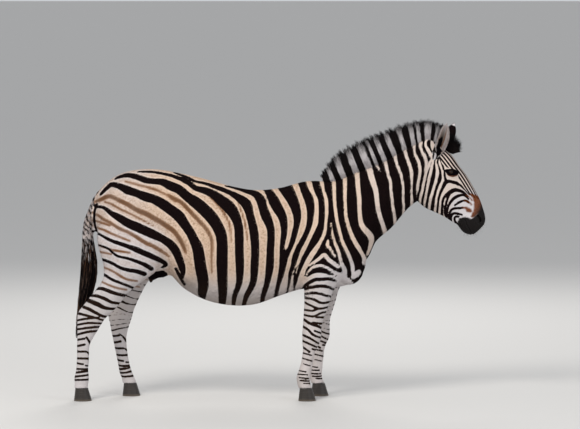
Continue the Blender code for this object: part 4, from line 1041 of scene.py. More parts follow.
def minus(tree, first, second):
    return reckoned(tree, "SUBTRACT", first, second)


def times(tree, first, second):
    return reckoned(tree, "MULTIPLY", first, second)


def ramp(tree, value, low, high, start=0.0, end=1.0):
    inputs = {"Value": value, "From Min": low, "From Max": high, "To Min": start, "To Max": end}
    return node(tree, "ShaderNodeMapRange", inputs, interpolation_type="SMOOTHSTEP").outputs["Result"]


def mixed(tree, share, first, second):
    made = node(tree, "ShaderNodeMix", data_type="RGBA")
    for key, value in ((0, share), (6, first), (7, second)):
        if isinstance(value, bpy.types.NodeSocket):
            tree.links.new(value, made.inputs[key])
        else:
            made.inputs[key].default_value = (*value, 1) if isinstance(value, tuple) else value
    return made.outputs[2]


def noise(tree, place, scale, detail=2.0, rough=0.5):
    inputs = {"Vector": place, "Scale": scale, "Detail": detail, "Roughness": rough}
    return node(tree, "ShaderNodeTexNoise", inputs).outputs["Fac"]


def object_place(tree):
    return node(tree, "ShaderNodeTexCoord").outputs["Object"]


def relief_on(tree, shader, height, strength, distance):
    """Fine relief that only bends the light."""
    inputs = {"Height": height, "Strength": strength, "Distance": distance}
    tree.links.new(node(tree, "ShaderNodeBump", inputs).outputs[0], shader.inputs["Normal"])


def new_material(name):
    material = bpy.data.materials.new(name)
    material.use_nodes = True
    return material, material.node_tree, material.node_tree.nodes["Principled BSDF"]


def new_group(name, inputs, outputs):
    """An empty node group with its sockets: (name, kind, default)."""
    tree = bpy.data.node_groups.new(name, "ShaderNodeTree")
    for label, kind, default in inputs:
        tree.interface.new_socket(label, in_out="INPUT", socket_type=kind).default_value = default
    for label, kind in outputs:
        tree.interface.new_socket(label, in_out="OUTPUT", socket_type=kind)
    return tree, tree.nodes.new("NodeGroupInput").outputs, tree.nodes.new("NodeGroupOutput").inputs


def stripes_group():
    """The coat's colours with painted shade, and how dark its hair is, from the markings carried by the mesh.
    """
    tree, given, made = new_group(
        "zebra_stripes",
        [("Stray", "NodeSocketFloat", 0.0045), ("Edge", "NodeSocketFloat", 0.0009)],
        [("Color", "NodeSocketColor"), ("Dark", "NodeSocketFloat"), ("Muzzle", "NodeSocketFloat")])
    place = object_place(tree)
    wander = minus(tree, noise(tree, place, 55, 2), 0.5)
    hair_edge = minus(tree, noise(tree, place, 420, 2, 0.7), 0.5)
    stray = times(tree, plus(tree, wander, hair_edge), given["Stray"])
    fine = times(tree, stray, 0.5)

    def inside(name, extra, width=None):
        gap = plus(tree, attribute(tree, name), extra)
        edge = given["Edge"] if width is None else width
        low = times(tree, edge, -1.0)
        return minus(tree, 1.0, ramp(tree, gap, low, edge))

    tone = noise(tree, place, 9, 3)
    mottle = noise(tree, place, 260, 2, 0.65)
    pale, middles = attribute(tree, "pale"), attribute(tree, "mid_cream")
    upright = attribute(tree, "hair_upright")
    warm = ramp(tree, plus(tree, pale, times(tree, tone, 0.25)), 0.05, 1.1)
    light = mixed(tree, warm, CREAM_HAIR, WHITE_HAIR)
    light = mixed(tree, ramp(tree, mottle, 0.35, 0.75, 0.0, 0.16), light, SHADOW_HAIR)
    dusty = times(tree, middles, ramp(tree, noise(tree, place, 95, 3, 0.7), 0.42, 0.68))
    light = mixed(tree, times(tree, middles, 0.42), light, CREAM_CORE)
    light = mixed(tree, times(tree, dusty, 0.62), light, SHADOW_HAIR)
    # painted shade: grey-brown over the underside, the flank, the insides of the legs and the ear hollows
    under = times(tree, attribute(tree, "under"), 0.55)
    light = mixed(tree, under, light, PAINTED_SHADE_BROWN)
    wider = minus(tree, stray, 0.0030)
    shadow = times(tree, inside("shadow", wider, 0.0035), ramp(tree, tone, 0.2, 0.7, 0.62, 1.0))
    light = mixed(tree, shadow, light, SHADOW_HAIR)
    core = inside("shadow", plus(tree, stray, 0.0022), 0.004)
    light = mixed(tree, times(tree, core, 0.62), light, SHADOW_CORE)
    dust = times(tree, upright, ramp(tree, tone, 0.3, 0.7, 0.10, 0.42))
    light = mixed(tree, dust, light, DUST_HAIR)
    rust = inside("rust", times(tree, wander, 0.012), 0.006)
    light = mixed(tree, times(tree, rust, ramp(tree, mottle, 0.25, 0.6, 0.86, 1.0)), light, RUST_HAIR)
    lines = minus(tree, reckoned(tree, "FRACT", attribute(tree, "bridge")), 0.5)
    lines = reckoned(tree, "ABSOLUTE", lines)
    lines = plus(tree, lines, times(tree, wander, 0.10))
    lines = minus(tree, 1.0, ramp(tree, lines, 0.275, 0.345))
    bridge = ramp(tree, attribute(tree, "on_bridge"), -0.0015, 0.0015)
    band = inside("band", stray)
    dark = mixed(tree, bridge, band, lines)
    black = mixed(tree, ramp(tree, mottle, 0.3, 0.8), BLACK_HAIR, BROWN_BLACK)
    legs = times(tree, upright, ramp(tree, tone, 0.3, 0.7, 0.3, 0.9))
    black = mixed(tree, legs, black, LEG_DARK)
    dark_on_rust = mixed(tree, times(tree, rust, 0.55), black, RUST_HAIR)
    colour = mixed(tree, dark, light, dark_on_rust)
    colour = mixed(tree, inside("eye_brown", fine, 0.0015), colour, LID_BROWN)
    # black: the dark skin round the eyes and of the sheath, and painted shade in the ear hollows and at the
    # ear roots
    colour = mixed(tree, inside("dark_skin_and_shade", fine, 0.0015), colour, BLACK_HAIR)
    spread = plus(tree, 0.005, times(tree, rust, 0.019))
    muzzle = inside("muzzle", times(tree, wander, 0.02), spread)
    colour = mixed(tree, muzzle, colour, MUZZLE_SKIN)
    tree.links.new(colour, made["Color"])
    tree.links.new(reckoned(tree, "MAXIMUM", dark, muzzle), made["Dark"])
    tree.links.new(muzzle, made["Muzzle"])
    return tree


def short_hair_group():
    """Height of close hair: streaks along its lie, level on the body and upright on the legs."""
    tree, given, made = new_group(
        "short_hair", [("Fineness", "NodeSocketFloat", 1.0)], [("Height", "NodeSocketFloat")])
    place = object_place(tree)
    ways = {"Rotation": (0, 0.35, 0), "Scale": (110, 620, 620)}, {"Scale": (620, 620, 110)}
    ways = [node(tree, "ShaderNodeMapping", {"Vector": place, **way}).outputs[0] for way in ways]
    on_body, on_leg = (noise(tree, way, given["Fineness"], 3, 0.6) for way in ways)
    streaks = mixed(tree, attribute(tree, "hair_upright"), on_body, on_leg)
    tufts = noise(tree, place, 85, 3, 0.6)
    tree.links.new(plus(tree, streaks, times(tree, tufts, 0.7)), made["Height"])
    return tree


def painted(piece, material):
    piece.data.materials.clear()
    piece.data.materials.append(material)


def coat_material():
    """The coat's colours over its fine relief; the stripes' hair is a little glossier."""
    material, tree, shader = new_material("zebra_coat")
    stripes = node(tree, "ShaderNodeGroup", node_tree=stripes_tree)
    tree.links.new(stripes.outputs["Color"], shader.inputs["Base Color"])
    rough = ramp(tree, stripes.outputs["Dark"], 0.0, 1.0, 0.62, 0.48)
    tree.links.new(rough, shader.inputs["Roughness"])
    shader.inputs["Specular IOR Level"].default_value = 0.0
    # the bare muzzle has a faint sheen
    tree.links.new(times(tree, stripes.outputs["Muzzle"], 0.22), shader.inputs["Coat Weight"])
    shader.inputs["Coat Roughness"].default_value = 0.45
    hair = node(tree, "ShaderNodeGroup", node_tree=hair_tree)
    relief_on(tree, shader, hair.outputs["Height"], 0.55, 0.0012)
    return material


stripes_tree = stripes_group()
hair_tree = short_hair_group()
skin_coat = coat_material()
painted(skin, skin_coat)

# ---- Eyes -------------------------------------------------------------------------------
# Glass eyes set in the skin: a dark brown iris with a level oval pupil under a clear dome,
# each where its solid is.
IRIS_DOME = 0.045         # how far the clear dome stands out, as a share of the ball
BALL_SHARE = 0.955


def eye_piece(name, side):
    low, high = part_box(f"eye_{name}")
    centre = (Vector(low) + Vector(high)) / 2
    radius = (high[0] - low[0]) / 2
    shape = bmesh.new()
    bmesh.ops.create_uvsphere(shape, u_segments=48, v_segments=32, radius=1.0)
    look = Vector((0.34, side, 0.05)).normalized()
    turn = Vector((0, 0, 1)).rotation_difference(look)
    for v in shape.verts:
        dome = IRIS_DOME * max(0.0, (v.co.z - 0.62) / 0.38) ** 1.2
        v.co = centre + turn @ (v.co * (1 + dome)) * (radius * BALL_SHARE)
    mesh = smooth_mesh(f"glass_eye_{name}", shape)
    piece = add_piece(f"glass_eye_{name}", mesh)
    seen = points_of(mesh) - np.array(centre)
    facing = unit(seen) @ np.array(look)
    level = unit(seen) @ np.array(Vector((0, 0, 1)) - look * look.z)
    write_marks(mesh, {"facing": facing, "level": level})
    painted(piece, eye_material)
    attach(piece, "root")
    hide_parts(f"eye_{name}")


def eye_glass():
    material, tree, shader = new_material("dark_eye")
    facing, level = attribute(tree, "facing"), attribute(tree, "level")
    level = times(tree, level, level)
    across = plus(tree, minus(tree, 1.0, facing), times(tree, level, 1.1))
    fibres = noise(tree, object_place(tree), 900, 3, 0.7)
    iris = mixed(tree, fibres, (0.012, 0.005, 0.003), (0.040, 0.017, 0.008))
    colour = mixed(tree, ramp(tree, across, 0.055, 0.075), (0.002, 0.002, 0.003), iris)
    colour = mixed(tree, ramp(tree, facing, 0.72, 0.80), (0.012, 0.009, 0.008), colour)
    tree.links.new(colour, shader.inputs["Base Color"])
    shader.inputs["Roughness"].default_value = 0.04
    shader.inputs["Specular IOR Level"].default_value = 0.2
    return material


eye_material = eye_glass()
for name, side in SIDES.items():
    eye_piece(name, side)

# ---- Hooves -----------------------------------------------------------------------------
# Dark horn, grown down from the coronet in level rings: a steep narrow wall, open at the
# heels behind, with a flat ground face that shows the sole inside the wall.
HOOF_RINGS = 22
HOOF_SIDES = 64
HOOF_INSET = 0.0012
GROUND_BEVEL = 0.0015     # the wall starts this far above the ground face
SOLE_DEPTH, CROWN_DEPTH = 0.004, 0.002
HORN_EDGE = math.radians(45)


def hoof_outline(low, high, share, tall):
    """One ring of the wall at a share of the hoof's height, from the ground up."""
    centre_x, centre_y = (low[0] + high[0]) / 2, (low[1] + high[1]) / 2
    half_x, half_y = (high[0] - low[0]) / 2, (high[1] - low[1]) / 2
    toe_back = 0.30 * tall * share
    heel_in = 0.14 * tall * share
    ring = []
    for k in range(HOOF_SIDES):
        angle = 2 * math.pi * k / HOOF_SIDES
        c, s = math.cos(angle), math.sin(angle)
        across = half_y * (1 - 0.14 * share) * math.copysign(abs(s) ** 0.92, s)
        along = half_x * math.copysign(abs(c) ** 0.95, c)
        along = along - toe_back * max(c, 0) if c > 0 else along + heel_in * -c
        heel = math.exp(-((angle - math.pi) / 0.30) ** 2)
        along += heel * half_x * 0.14 * (1 - 0.6 * share)
        swell = 0.0008 * math.sin(share * 42 + 0.5 * s) * (1 - heel)
        grow = 1 + swell / half_y
        ring.append((centre_x + along * grow, centre_y + across * grow))
    return ring


def drawn_in(ring, middle, share, height, back=0.0):
    """The ring drawn in towards its middle, at some height."""
    return [(middle[0] - back + (px - middle[0]) * share, middle[1] + (py - middle[1]) * share, height)
            for px, py, *_ in ring]


def lofted(name, rings):
    """A closed body through rings of corners, from first to last."""
    shape = bmesh.new()
    loops = [[shape.verts.new(p) for p in ring] for ring in rings]
    for lower, upper in zip(loops, loops[1:]):
        for k in range(len(lower)):
            n = (k + 1) % len(lower)
            shape.faces.new((lower[k], lower[n], upper[n], upper[k]))
    shape.faces.new(list(reversed(loops[0])))
    shape.faces.new(loops[-1])
    bmesh.ops.recalc_face_normals(shape, faces=shape.faces)
    return smooth_mesh(name, shape)


def hoof_piece(name):
    low, high = (np.array(corner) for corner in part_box(name))
    low[:2] += HOOF_INSET
    high[:2] -= HOOF_INSET
    tall = high[2] - low[2]
    rings = []
    for i in range(HOOF_RINGS + 1):
        share = i / HOOF_RINGS
        z = low[2] + GROUND_BEVEL + (tall - GROUND_BEVEL) * share
        rings.append([(px, py, z) for px, py in hoof_outline(low, high, share, tall)])
    middle = np.array(rings[0]).mean(axis=0)
    ground = drawn_in(rings[0], middle, 0.97, low[2])
    white_line = drawn_in(ground, middle, 0.84, low[2])
    sole = [(px, py, low[2] + SOLE_DEPTH) for px, py, _ in white_line]
    crown = drawn_in(rings[-1], middle, 0.8, z - CROWN_DEPTH, back=0.004)
    mesh = lofted(f"horn_{name}", [sole, white_line, ground, *rings, crown])
    mesh.set_sharp_from_angle(angle=HORN_EDGE)
    piece = add_piece(f"horn_{name}", mesh)
    painted(piece, horn_material)
    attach(piece, "root")
    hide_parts(name)


def horn():
    material, tree, shader = new_material("hoof_horn_finish")
    place = object_place(tree)
    rings = node(tree, "ShaderNodeMapping", {"Vector": place, "Scale": (14, 14, 260)}).outputs[0]
    grain = node(tree, "ShaderNodeMapping", {"Vector": place, "Scale": (700, 700, 40)}).outputs[0]
    ringed, grained = noise(tree, rings, 1.0, 3), noise(tree, grain, 1.0, 3, 0.6)
    height = node(tree, "ShaderNodeSeparateXYZ", {"Vector": place}).outputs["Z"]
    colour = mixed(tree, ringed, (0.010, 0.008, 0.007), (0.034, 0.026, 0.020))
    colour = mixed(tree, ramp(tree, grained, 0.45, 0.8, 0, 0.35), colour, (0.075, 0.056, 0.040))
    colour = mixed(tree, ramp(tree, height, 0.016, 0.0, 0.0, 0.7), colour, (0.15, 0.115, 0.08))
    tree.links.new(colour, shader.inputs["Base Color"])
    tree.links.new(ramp(tree, grained, 0.2, 0.8, 0.38, 0.6), shader.inputs["Roughness"])
    relief_on(tree, shader, plus(tree, ringed, times(tree, grained, 0.35)), 0.6, 0.0012)
    return material


horn_material = horn()
for end in ("fore", "hind"):
    for side in "RL":
        hoof_piece(f"{end}_hoof_{side}")

# ---- Hair: locks ------------------------------------------------------------------------
# All hair is solid: each lock a thin three-sided spike, bent along its way, whose root sits
# in the skin. Its colours are the markings of the skin at its root.
chance = np.random.default_rng(7)
ROOT_PATCH = 0.0015


def skin_unwrap():
    """Unwraps the skin; the place of each of its faces there."""
    bpy.ops.object.select_all(action="DESELECT")
    bpy.context.view_layer.objects.active = skin
    skin.select_set(True)
    skin_mesh.uv_layers.new(name="OFBake")
    bpy.ops.object.mode_set(mode="EDIT")
    bpy.ops.mesh.select_all(action="SELECT")
    bpy.ops.uv.smart_project(angle_limit=1.15, island_margin=0.002, scale_to_bounds=True)
    bpy.ops.object.mode_set(mode="OBJECT")
    skin.select_set(False)
    flat = read(skin_mesh.uv_layers["OFBake"].data, "uv", width=2)
    starts, totals = (read(skin_mesh.polygons, key, np.int32) for key in ("loop_start", "loop_total"))
    return np.add.reduceat(flat, starts, axis=0) / totals[:, None]


face_uvs = skin_unwrap()
skin_faces = [list(face.vertices) for face in skin_mesh.polygons]
skin_tree = BVHTree.FromPolygons(points_of(skin_mesh).tolist(), skin_faces)


def root_uvs(roots):
    """Where each root lies on the skin's unwrap."""
    found = [skin_tree.find_nearest(Vector(root))[2] for root in roots]
    return face_uvs[np.array(found)]


def locks(name, roots, ways, bends, lengths, widths, material, marks, steps=3, thin=0.55, spots=None):
    """A joined mesh of locks. ways are directions at the root, bends what is added at the tip."""
    count = len(roots)
    shares = np.linspace(0, 1, steps + 1)
    taper = 1 - shares[:-1] ** 1.6
    across = unit(np.cross(ways, unit(chance.normal(size=(count, 3)) * 0.35 + np.array((0, 1, 0)))))
    outward = unit(np.cross(across, ways))
    corners = np.empty((count, steps * 3 + 1, 3))
    for i, share in enumerate(shares):
        middle = roots + (ways * share + bends * share ** 2) * lengths[:, None]
        if i == steps:
            corners[:, -1] = middle
            break
        wide = (widths * taper[i])[:, None]
        corners[:, i * 3] = middle - across * wide / 2
        corners[:, i * 3 + 1] = middle + across * wide / 2
        corners[:, i * 3 + 2] = middle + outward * wide * thin
    pattern = [(0, 2, 1)]
    for i in range(steps - 1):
        a = i * 3
        for k in range(3):
            n = (k + 1) % 3
            pattern += [(a + k, a + n, a + 3 + n), (a + k, a + 3 + n, a + 3 + k)]
    last = (steps - 1) * 3
    pattern += [(last + k, last + (k + 1) % 3, steps * 3) for k in range(3)]
    size = steps * 3 + 1
    faces = (np.arange(count)[:, None, None] * size + np.array(pattern)).reshape(-1, 3)
    mesh = mesh_of(name, corners.reshape(-1, 3), faces)
    centre = root_uvs(roots) if spots is None else spots
    ring = np.array([(-1, -1), (1, -1), (0, 1)]) * ROOT_PATCH
    patch = np.empty((count, size, 2))
    for i in range(steps):
        patch[:, i * 3:i * 3 + 3] = centre[:, None] + ring * (1 - 0.55 * i / steps)
    patch[:, -1] = centre + np.array((0.0002, -0.0001))
    layer = mesh.uv_layers.new(name="OFBake")
    layer.data.foreach_set("uv", patch.reshape(-1, 2)[faces.ravel()].astype(np.float32).ravel())
    along = np.tile(np.concatenate([np.repeat(shares[:-1], 3), [1.0]]), count)
    tone = np.repeat(chance.random(count), size)
    values = {key: np.repeat(value, size) for key, value in marks.items()}
    write_marks(mesh, {**values, "along": along, "lock_tone": tone})
    if steps > 1:
        mesh.shade_smooth()
    piece = add_piece(name, mesh)
    painted(piece, material)
    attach(piece, "root")
    return piece


def hair_material(name, tip_start, tip_dark, roughness=0.5, uneven=0.35):
    """Hair that carries the stripes of its roots, with tips that darken."""
    material, tree, shader = new_material(name)
    stripes = node(tree, "ShaderNodeGroup", node_tree=stripes_tree)
    tone = attribute(tree, "lock_tone")
    shade = ramp(tree, tone, 0.2, 1.0, 0.0, uneven)
    colour = mixed(tree, shade, stripes.outputs["Color"], (0.0, 0.0, 0.0))
    start = plus(tree, tip_start, times(tree, minus(tree, tone, 0.5), 0.22))
    end = plus(tree, start, 0.16)
    tip_inputs = {"Value": attribute(tree, "along"), "From Min": start, "From Max": end}
    tip = node(tree, "ShaderNodeMapRange", tip_inputs)
    colour = mixed(tree, times(tree, tip.outputs["Result"], tip_dark), colour, BLACK_HAIR)
    tree.links.new(colour, shader.inputs["Base Color"])
    shader.inputs["Roughness"].default_value = roughness
    shader.inputs["Specular IOR Level"].default_value = 0.08
    return material


# ---- Mane and forelock ------------------------------------------------------------------
# A stiff upright brush of coarse hair along the crest. The neck's stripes run on up through
# it; all its tips are black. Between the ears it leans forward into a black forelock.
# (crest x, z, tip x, z, half width), from withers to poll
MANE = [
    (0.262, 1.300, 0.243, 1.352, 0.010), (0.335, 1.312, 0.288, 1.425, 0.020),
    (0.400, 1.332, 0.338, 1.487, 0.024), (0.500, 1.377, 0.432, 1.540, 0.027),
    (0.600, 1.416, 0.527, 1.586, 0.028), (0.700, 1.474, 0.640, 1.627, 0.028),
    (0.780, 1.516, 0.745, 1.664, 0.027), (0.850, 1.550, 0.838, 1.683, 0.026),
    (0.905, 1.556, 0.915, 1.678, 0.023), (0.945, 1.536, 0.972, 1.655, 0.015),
]
MANE_LOCKS = 16000
CORE_RINGS = 70
# where the core's corners lie, from crest to tip, and how wide it is there
CORE_ROWS = [(0, 0.5), (0.3, 0.62), (0.65, 0.5), (0.9, 0.3), (1, 0.08)]
POLL_START, POLL_END, POLL_BARS = 0.735, 0.965, 9.0    # the bars behind the ears, along the mane
LOCK_CORNERS = 10         # of a lock of three steps


def along_rows(rows, shares):
    """Rows read off between their stations, on a curve, at shares from 0 to 1."""
    return read_curve(np.array(rows), np.clip(shares, 0, 1) * (len(rows) - 1))


def closed_loft(name, rings, material, nodes):
    """A closed body through rings of corners; the hair stands on it."""
    piece = add_piece(name, lofted(name, rings))
    painted(piece, material)
    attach(piece, "root")
    if nodes:
        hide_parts(*nodes)
    return piece


def mark_core(piece, **more):
    """Black marks on a core, and a few plain values more."""
    count = len(piece.data.vertices)
    write_marks(piece.data, plain_marks(count, ALL_DARK))
    write_marks(piece.data, {name: np.full(count, value) for name, value in more.items()})


def mane_marks(shares):
    """The markings of the crest just below the mane, for hair that grows there."""
    rows = along_rows(MANE, shares)
    crest = np.stack([rows[:, 0], np.full(len(rows), -0.02), rows[:, 1]], 1)
    lean = unit(np.stack([rows[:, 2] - rows[:, 0], rows[:, 3] - rows[:, 1]], 1))
    crest[:, [0, 2]] -= lean * 0.012
    marks = marks_at(crest, profile)
    for name, value in (("pale", 1.0), ("shadow", MARK_END), ("dark_skin_and_shade", MARK_END), ("mid_cream", 0.0)):
        marks[name] = np.full(len(rows), value)
    poll = np.abs(((shares - POLL_START) * POLL_BARS) % 1.0 - 0.5) * 0.045 - 0.008
    at_poll = (shares > POLL_START) & (shares < POLL_END)
    marks["band"] = np.where(at_poll, poll, clipped(marks["band"] + 0.0035, BAND_END))
    return marks


def make_mane_core():
    rings = []
    spread = np.linspace(0, 1, CORE_RINGS)
    for bx, bz, tx, tz, half in along_rows(MANE, spread):
        base, end = Vector((bx, 0, bz)), Vector((tx, 0, tz))
        way = (end - base).normalized()
        base = base - way * 0.02
        end = end - way * 0.035
        ring = [base.lerp(end, t) + Vector((0, half * w, 0)) for t, w in CORE_ROWS]
        rings.append(ring + [Vector((p.x, -p.y, p.z)) for p in reversed(ring)])
    piece = closed_loft("mane_core", rings, mane_hair, ["mane"])
    shares = np.repeat(spread, 2 * len(CORE_ROWS))
    rise = [t for t, _ in CORE_ROWS]
    around = np.tile(rise + rise[::-1], CORE_RINGS)
    write_marks(piece.data, mane_marks(shares))
    write_marks(piece.data, {"along": around * 0.8, "lock_tone": np.full(len(shares), 0.7)})


def make_mane_locks(label, side):
    count = MANE_LOCKS // 2
    shares = chance.random(count) * 1.01 - 0.005
    rows = along_rows(MANE, shares)
    sideways = side * (1 - (1 - chance.random(count)) ** 1.4) * rows[:, 4] * 0.80
    start = chance.random(count) ** 2.2 * 0.40
    base = np.stack([rows[:, 0], sideways, rows[:, 1]], 1)
    end = np.stack([rows[:, 2], sideways * 0.45, rows[:, 3]], 1)
    clump = np.sin(shares * 230 + sideways * 200) * 0.55 + np.sin(shares * 97) * 0.45
    end[:, 0] += chance.normal(size=count) * 0.004 + clump * 0.009
    end[:, 1] += chance.normal(size=count) * 0.002
    ragged = 0.006 * (np.sin(shares * 330 + 1) + np.sin(shares * 211)) - 0.007
    end -= unit(end - base) * (chance.random(count) ** 1.6 * 0.06 - ragged)[:, None]
    way = unit(end - base)
    whole = np.linalg.norm(end - base, axis=1)
    base = base - way * 0.010
    roots = base + way * (start * whole)[:, None]
    lengths = whole * (1 - start) + 0.010
    bends = np.stack([clump * 0.02, side * 0.10 * np.abs(sideways) / 0.03, np.zeros(count)], 1)
    ways = unit(way - bends * 0.9)
    piece = locks(f"mane_locks_{label}", roots, ways, bends, lengths, 0.0020 + 0.0018 * chance.random(count),
                  mane_hair, mane_marks(shares))
    # a lock that starts high up in the mane is already part of the way to its tip
    layer = piece.data.attributes["along"].data
    along = np.repeat(start, LOCK_CORNERS) + read(layer, "value") * np.repeat(1 - start, LOCK_CORNERS)
    layer.foreach_set("value", along.astype(np.float32))


mane_hair = hair_material("mane_hair_finish", 0.74, 1.0, 0.6, 0.16)
make_mane_core()
for label, side in SIDES.items():
    make_mane_locks(label, side)
# (height, back x, front x, half width)
FORELOCK = [(1.480, 0.945, 0.985, 0.014), (1.505, 0.960, 1.075, 0.026), (1.517, 0.985, 1.092, 0.029),
            (1.540, 1.000, 1.083, 0.028), (1.575, 1.008, 1.070, 0.022), (1.610, 1.015, 1.050, 0.010)]
FORELOCK_LOCKS = 2000
CORE_SHARE = 0.42         # the core's width, as a share of the forelock's


def make_forelock():
    rings = []
    for z, back, front, half in along_rows(FORELOCK, np.linspace(0, 0.7, 12)):
        middle, long, wide = (back + front) / 2, (front - back) / 2 * CORE_SHARE, half * CORE_SHARE
        rings.append([Vector((middle + long * math.cos(a), wide * math.sin(a), z - 0.014))
                      for a in np.linspace(0, 2 * math.pi, 12, endpoint=False)])
    core = closed_loft("forelock_core", rings, mane_hair, ["forelock"])
    mark_core(core, along=0.5, lock_tone=0.7)
    count = FORELOCK_LOCKS
    across, deep = chance.uniform(-1, 1, count), chance.uniform(0, 1, count)
    start = np.stack([0.952 + deep * 0.085, across * 0.026 * (1 - 0.3 * deep), 1.500 - deep * 0.030], 1)
    tip = np.stack([1.016 + deep ** 0.8 * 0.070 + chance.normal(size=count) * 0.006, across * 0.020,
                    1.603 - deep ** 1.3 * 0.072 - chance.random(count) ** 2 * 0.05], 1)
    way = tip - start
    lengths = np.linalg.norm(way, axis=1) * (0.86 + 0.24 * chance.random(count))
    way = unit(way)
    bends = np.stack([0.16 + 0 * across, across * 0.1, -0.14 + 0 * across], 1)
    bends += chance.normal(size=(count, 3)) * 0.05
    widths = 0.0017 + 0.0015 * chance.random(count)
    piece = locks("forelock_locks", start, way - bends * 0.85, bends, lengths, widths, mane_hair,
                  plain_marks(count, ALL_DARK))


make_forelock()

# ---- Tail -------------------------------------------------------------------------------
# The dock is flesh under short greyish hair with close dark bars that point down; from the
# middle of the thigh the hair grows long and black into a hanging tuft.
# (height, back x, front x, half width)
TAIL_ROWS = [
    (1.262, -1.078, -1.010, 0.018), (1.228, -1.108, -1.050, 0.022), (1.190, -1.128, -1.065, 0.027),
    (1.140, -1.149, -1.090, 0.027), (1.080, -1.172, -1.115, 0.027), (1.020, -1.184, -1.122, 0.029),
    (0.950, -1.187, -1.118, 0.032), (0.880, -1.191, -1.106, 0.040), (0.790, -1.196, -1.096, 0.045),
    (0.710, -1.201, -1.101, 0.044), (0.620, -1.210, -1.130, 0.038), (0.520, -1.219, -1.165, 0.028),
    (0.430, -1.226, -1.195, 0.017), (0.360, -1.224, -1.214, 0.006),
]
DOCK_LOCKS = 5600
TUFT_LOCKS = 8000


def tail_at(heights):
    """Middle x, half depth and half width of the tail at some heights."""
    rows = curved(TAIL_ROWS, 8)[::-1]
    back, front, half = (np.interp(heights, rows[:, 0], rows[:, k]) for k in (1, 2, 3))
    return (back + front) / 2, (front - back) / 2, half


def tail_place(heights, angles, out):
    middle, deep, wide = tail_at(heights)
    return np.stack([middle + deep * out * np.cos(angles), wide * out * np.sin(angles), heights], -1)


def make_dock_hair():
    heights = 0.860 + 0.395 * chance.random(DOCK_LOCKS) ** 0.85
    angles = chance.random(DOCK_LOCKS) * 2 * math.pi
    roots = tail_place(heights, angles, 0.86)
    lengths = 0.012 + 0.007 * chance.random(DOCK_LOCKS) + 0.06 * smooth_step(-heights, -0.99, -0.90)
    tips = tail_place(heights - lengths, angles, 0.97 + 0.10 * chance.random(DOCK_LOCKS))
    ways = unit(tips - roots)
    away = unit(np.stack([np.cos(angles), np.sin(angles), np.zeros(DOCK_LOCKS)], 1))
    bends = -away * 0.12 + chance.normal(size=roots.shape) * 0.05
    # bars slope down and back to the rear ridge, broken at the sides
    rise = heights - lengths / 2 + 0.030 * np.cos(angles) + 0.0008 * chance.normal(size=DOCK_LOCKS)
    phase = (rise / 0.034 + 0.15 * np.sin(heights * 60)) % 1.0
    band = (np.abs(phase - 0.5) - 0.23) * 0.08
    marks = plain_marks(DOCK_LOCKS, ALL_PALE, 0.9)
    darker = smooth_step(-heights, -1.02, -0.88) * 0.9 - 0.15
    marks["band"] = np.where(chance.random(DOCK_LOCKS) < darker, -0.02, band)
    marks["shadow"] = (chance.random(DOCK_LOCKS) - 0.10) * 0.02
    widths = 0.0021 + 0.0016 * chance.random(DOCK_LOCKS)
    piece = locks("tail_dock_hair", roots, ways - bends * 0.8, bends, lengths, widths, dock_hair, marks)


def make_tuft():
    heights = np.linspace(0.962, 0.42, 30)
    angles = np.linspace(0, 2 * math.pi, 16, endpoint=False)
    rings = [[Vector(tail_place(np.array(h), np.array(a), 0.62).tolist()) for a in angles] for h in heights]
    core = closed_loft("tail_tuft_core", rings, tuft_hair, ["tail_tuft"])
    mark_core(core, along=0.4, lock_tone=0.8)
    top = 0.975 - 0.50 * chance.random(TUFT_LOCKS) ** 1.3
    angles = chance.random(TUFT_LOCKS) * 2 * math.pi
    angles += 0.25 * np.sin(angles * 7)
    out = 0.45 + 0.42 * chance.random(TUFT_LOCKS)
    roots = tail_place(top, angles, out)
    lengths = np.minimum(0.10 + 0.24 * chance.random(TUFT_LOCKS), top - 0.362)
    turned = angles + 0.2 * chance.normal(size=TUFT_LOCKS)
    tips = tail_place(top - lengths, turned, out + 0.26 * chance.random(TUFT_LOCKS))
    strays = chance.random(TUFT_LOCKS) < 0.05
    tips[:, :2] += strays[:, None] * chance.normal(size=(TUFT_LOCKS, 2)) * 0.007
    middles = tail_place(top - lengths / 2, angles, out + 0.12)
    ways = (tips - roots) / lengths[:, None]
    sag = (middles - (roots + tips) / 2) / lengths[:, None] * 4
    marks = plain_marks(TUFT_LOCKS, ALL_DARK)
    faded = chance.random(TUFT_LOCKS) < 0.10 + 0.12 * smooth_step(top, 0.80, 0.96)
    marks["band"] = np.where(faded, ALL_PALE, ALL_DARK)
    marks["shadow"] = np.where(faded, -0.02, MARK_END)
    widths = 0.0023 + 0.0024 * chance.random(TUFT_LOCKS)
    piece = locks("tail_tuft_locks", roots, ways + sag, -sag, lengths, widths, tuft_hair, marks)


dock_hair = hair_material("tail_hair_pale_finish", 0.9, 0.3, 0.60, 0.2)
tuft_hair = hair_material("tail_hair_dark_finish", 0.95, 0.6, 0.42)
make_dock_hair()
make_tuft()

# ---- Coat tufts -------------------------------------------------------------------------
# The short summer coat lies flat, so most of it is the skin's own grain; small overlapping
# tufts stand in it along its lie and break its outline, smallest on face and feet.
COAT_TUFTS = {"barrel": 40000, "haunch": 38000, "neck": 36000, "head": 36000, "legs": 38000}
FLANK, BREAST, NAPE, DOCK = -0.52, 0.30, 0.86, -1.12    # where the pieces meet


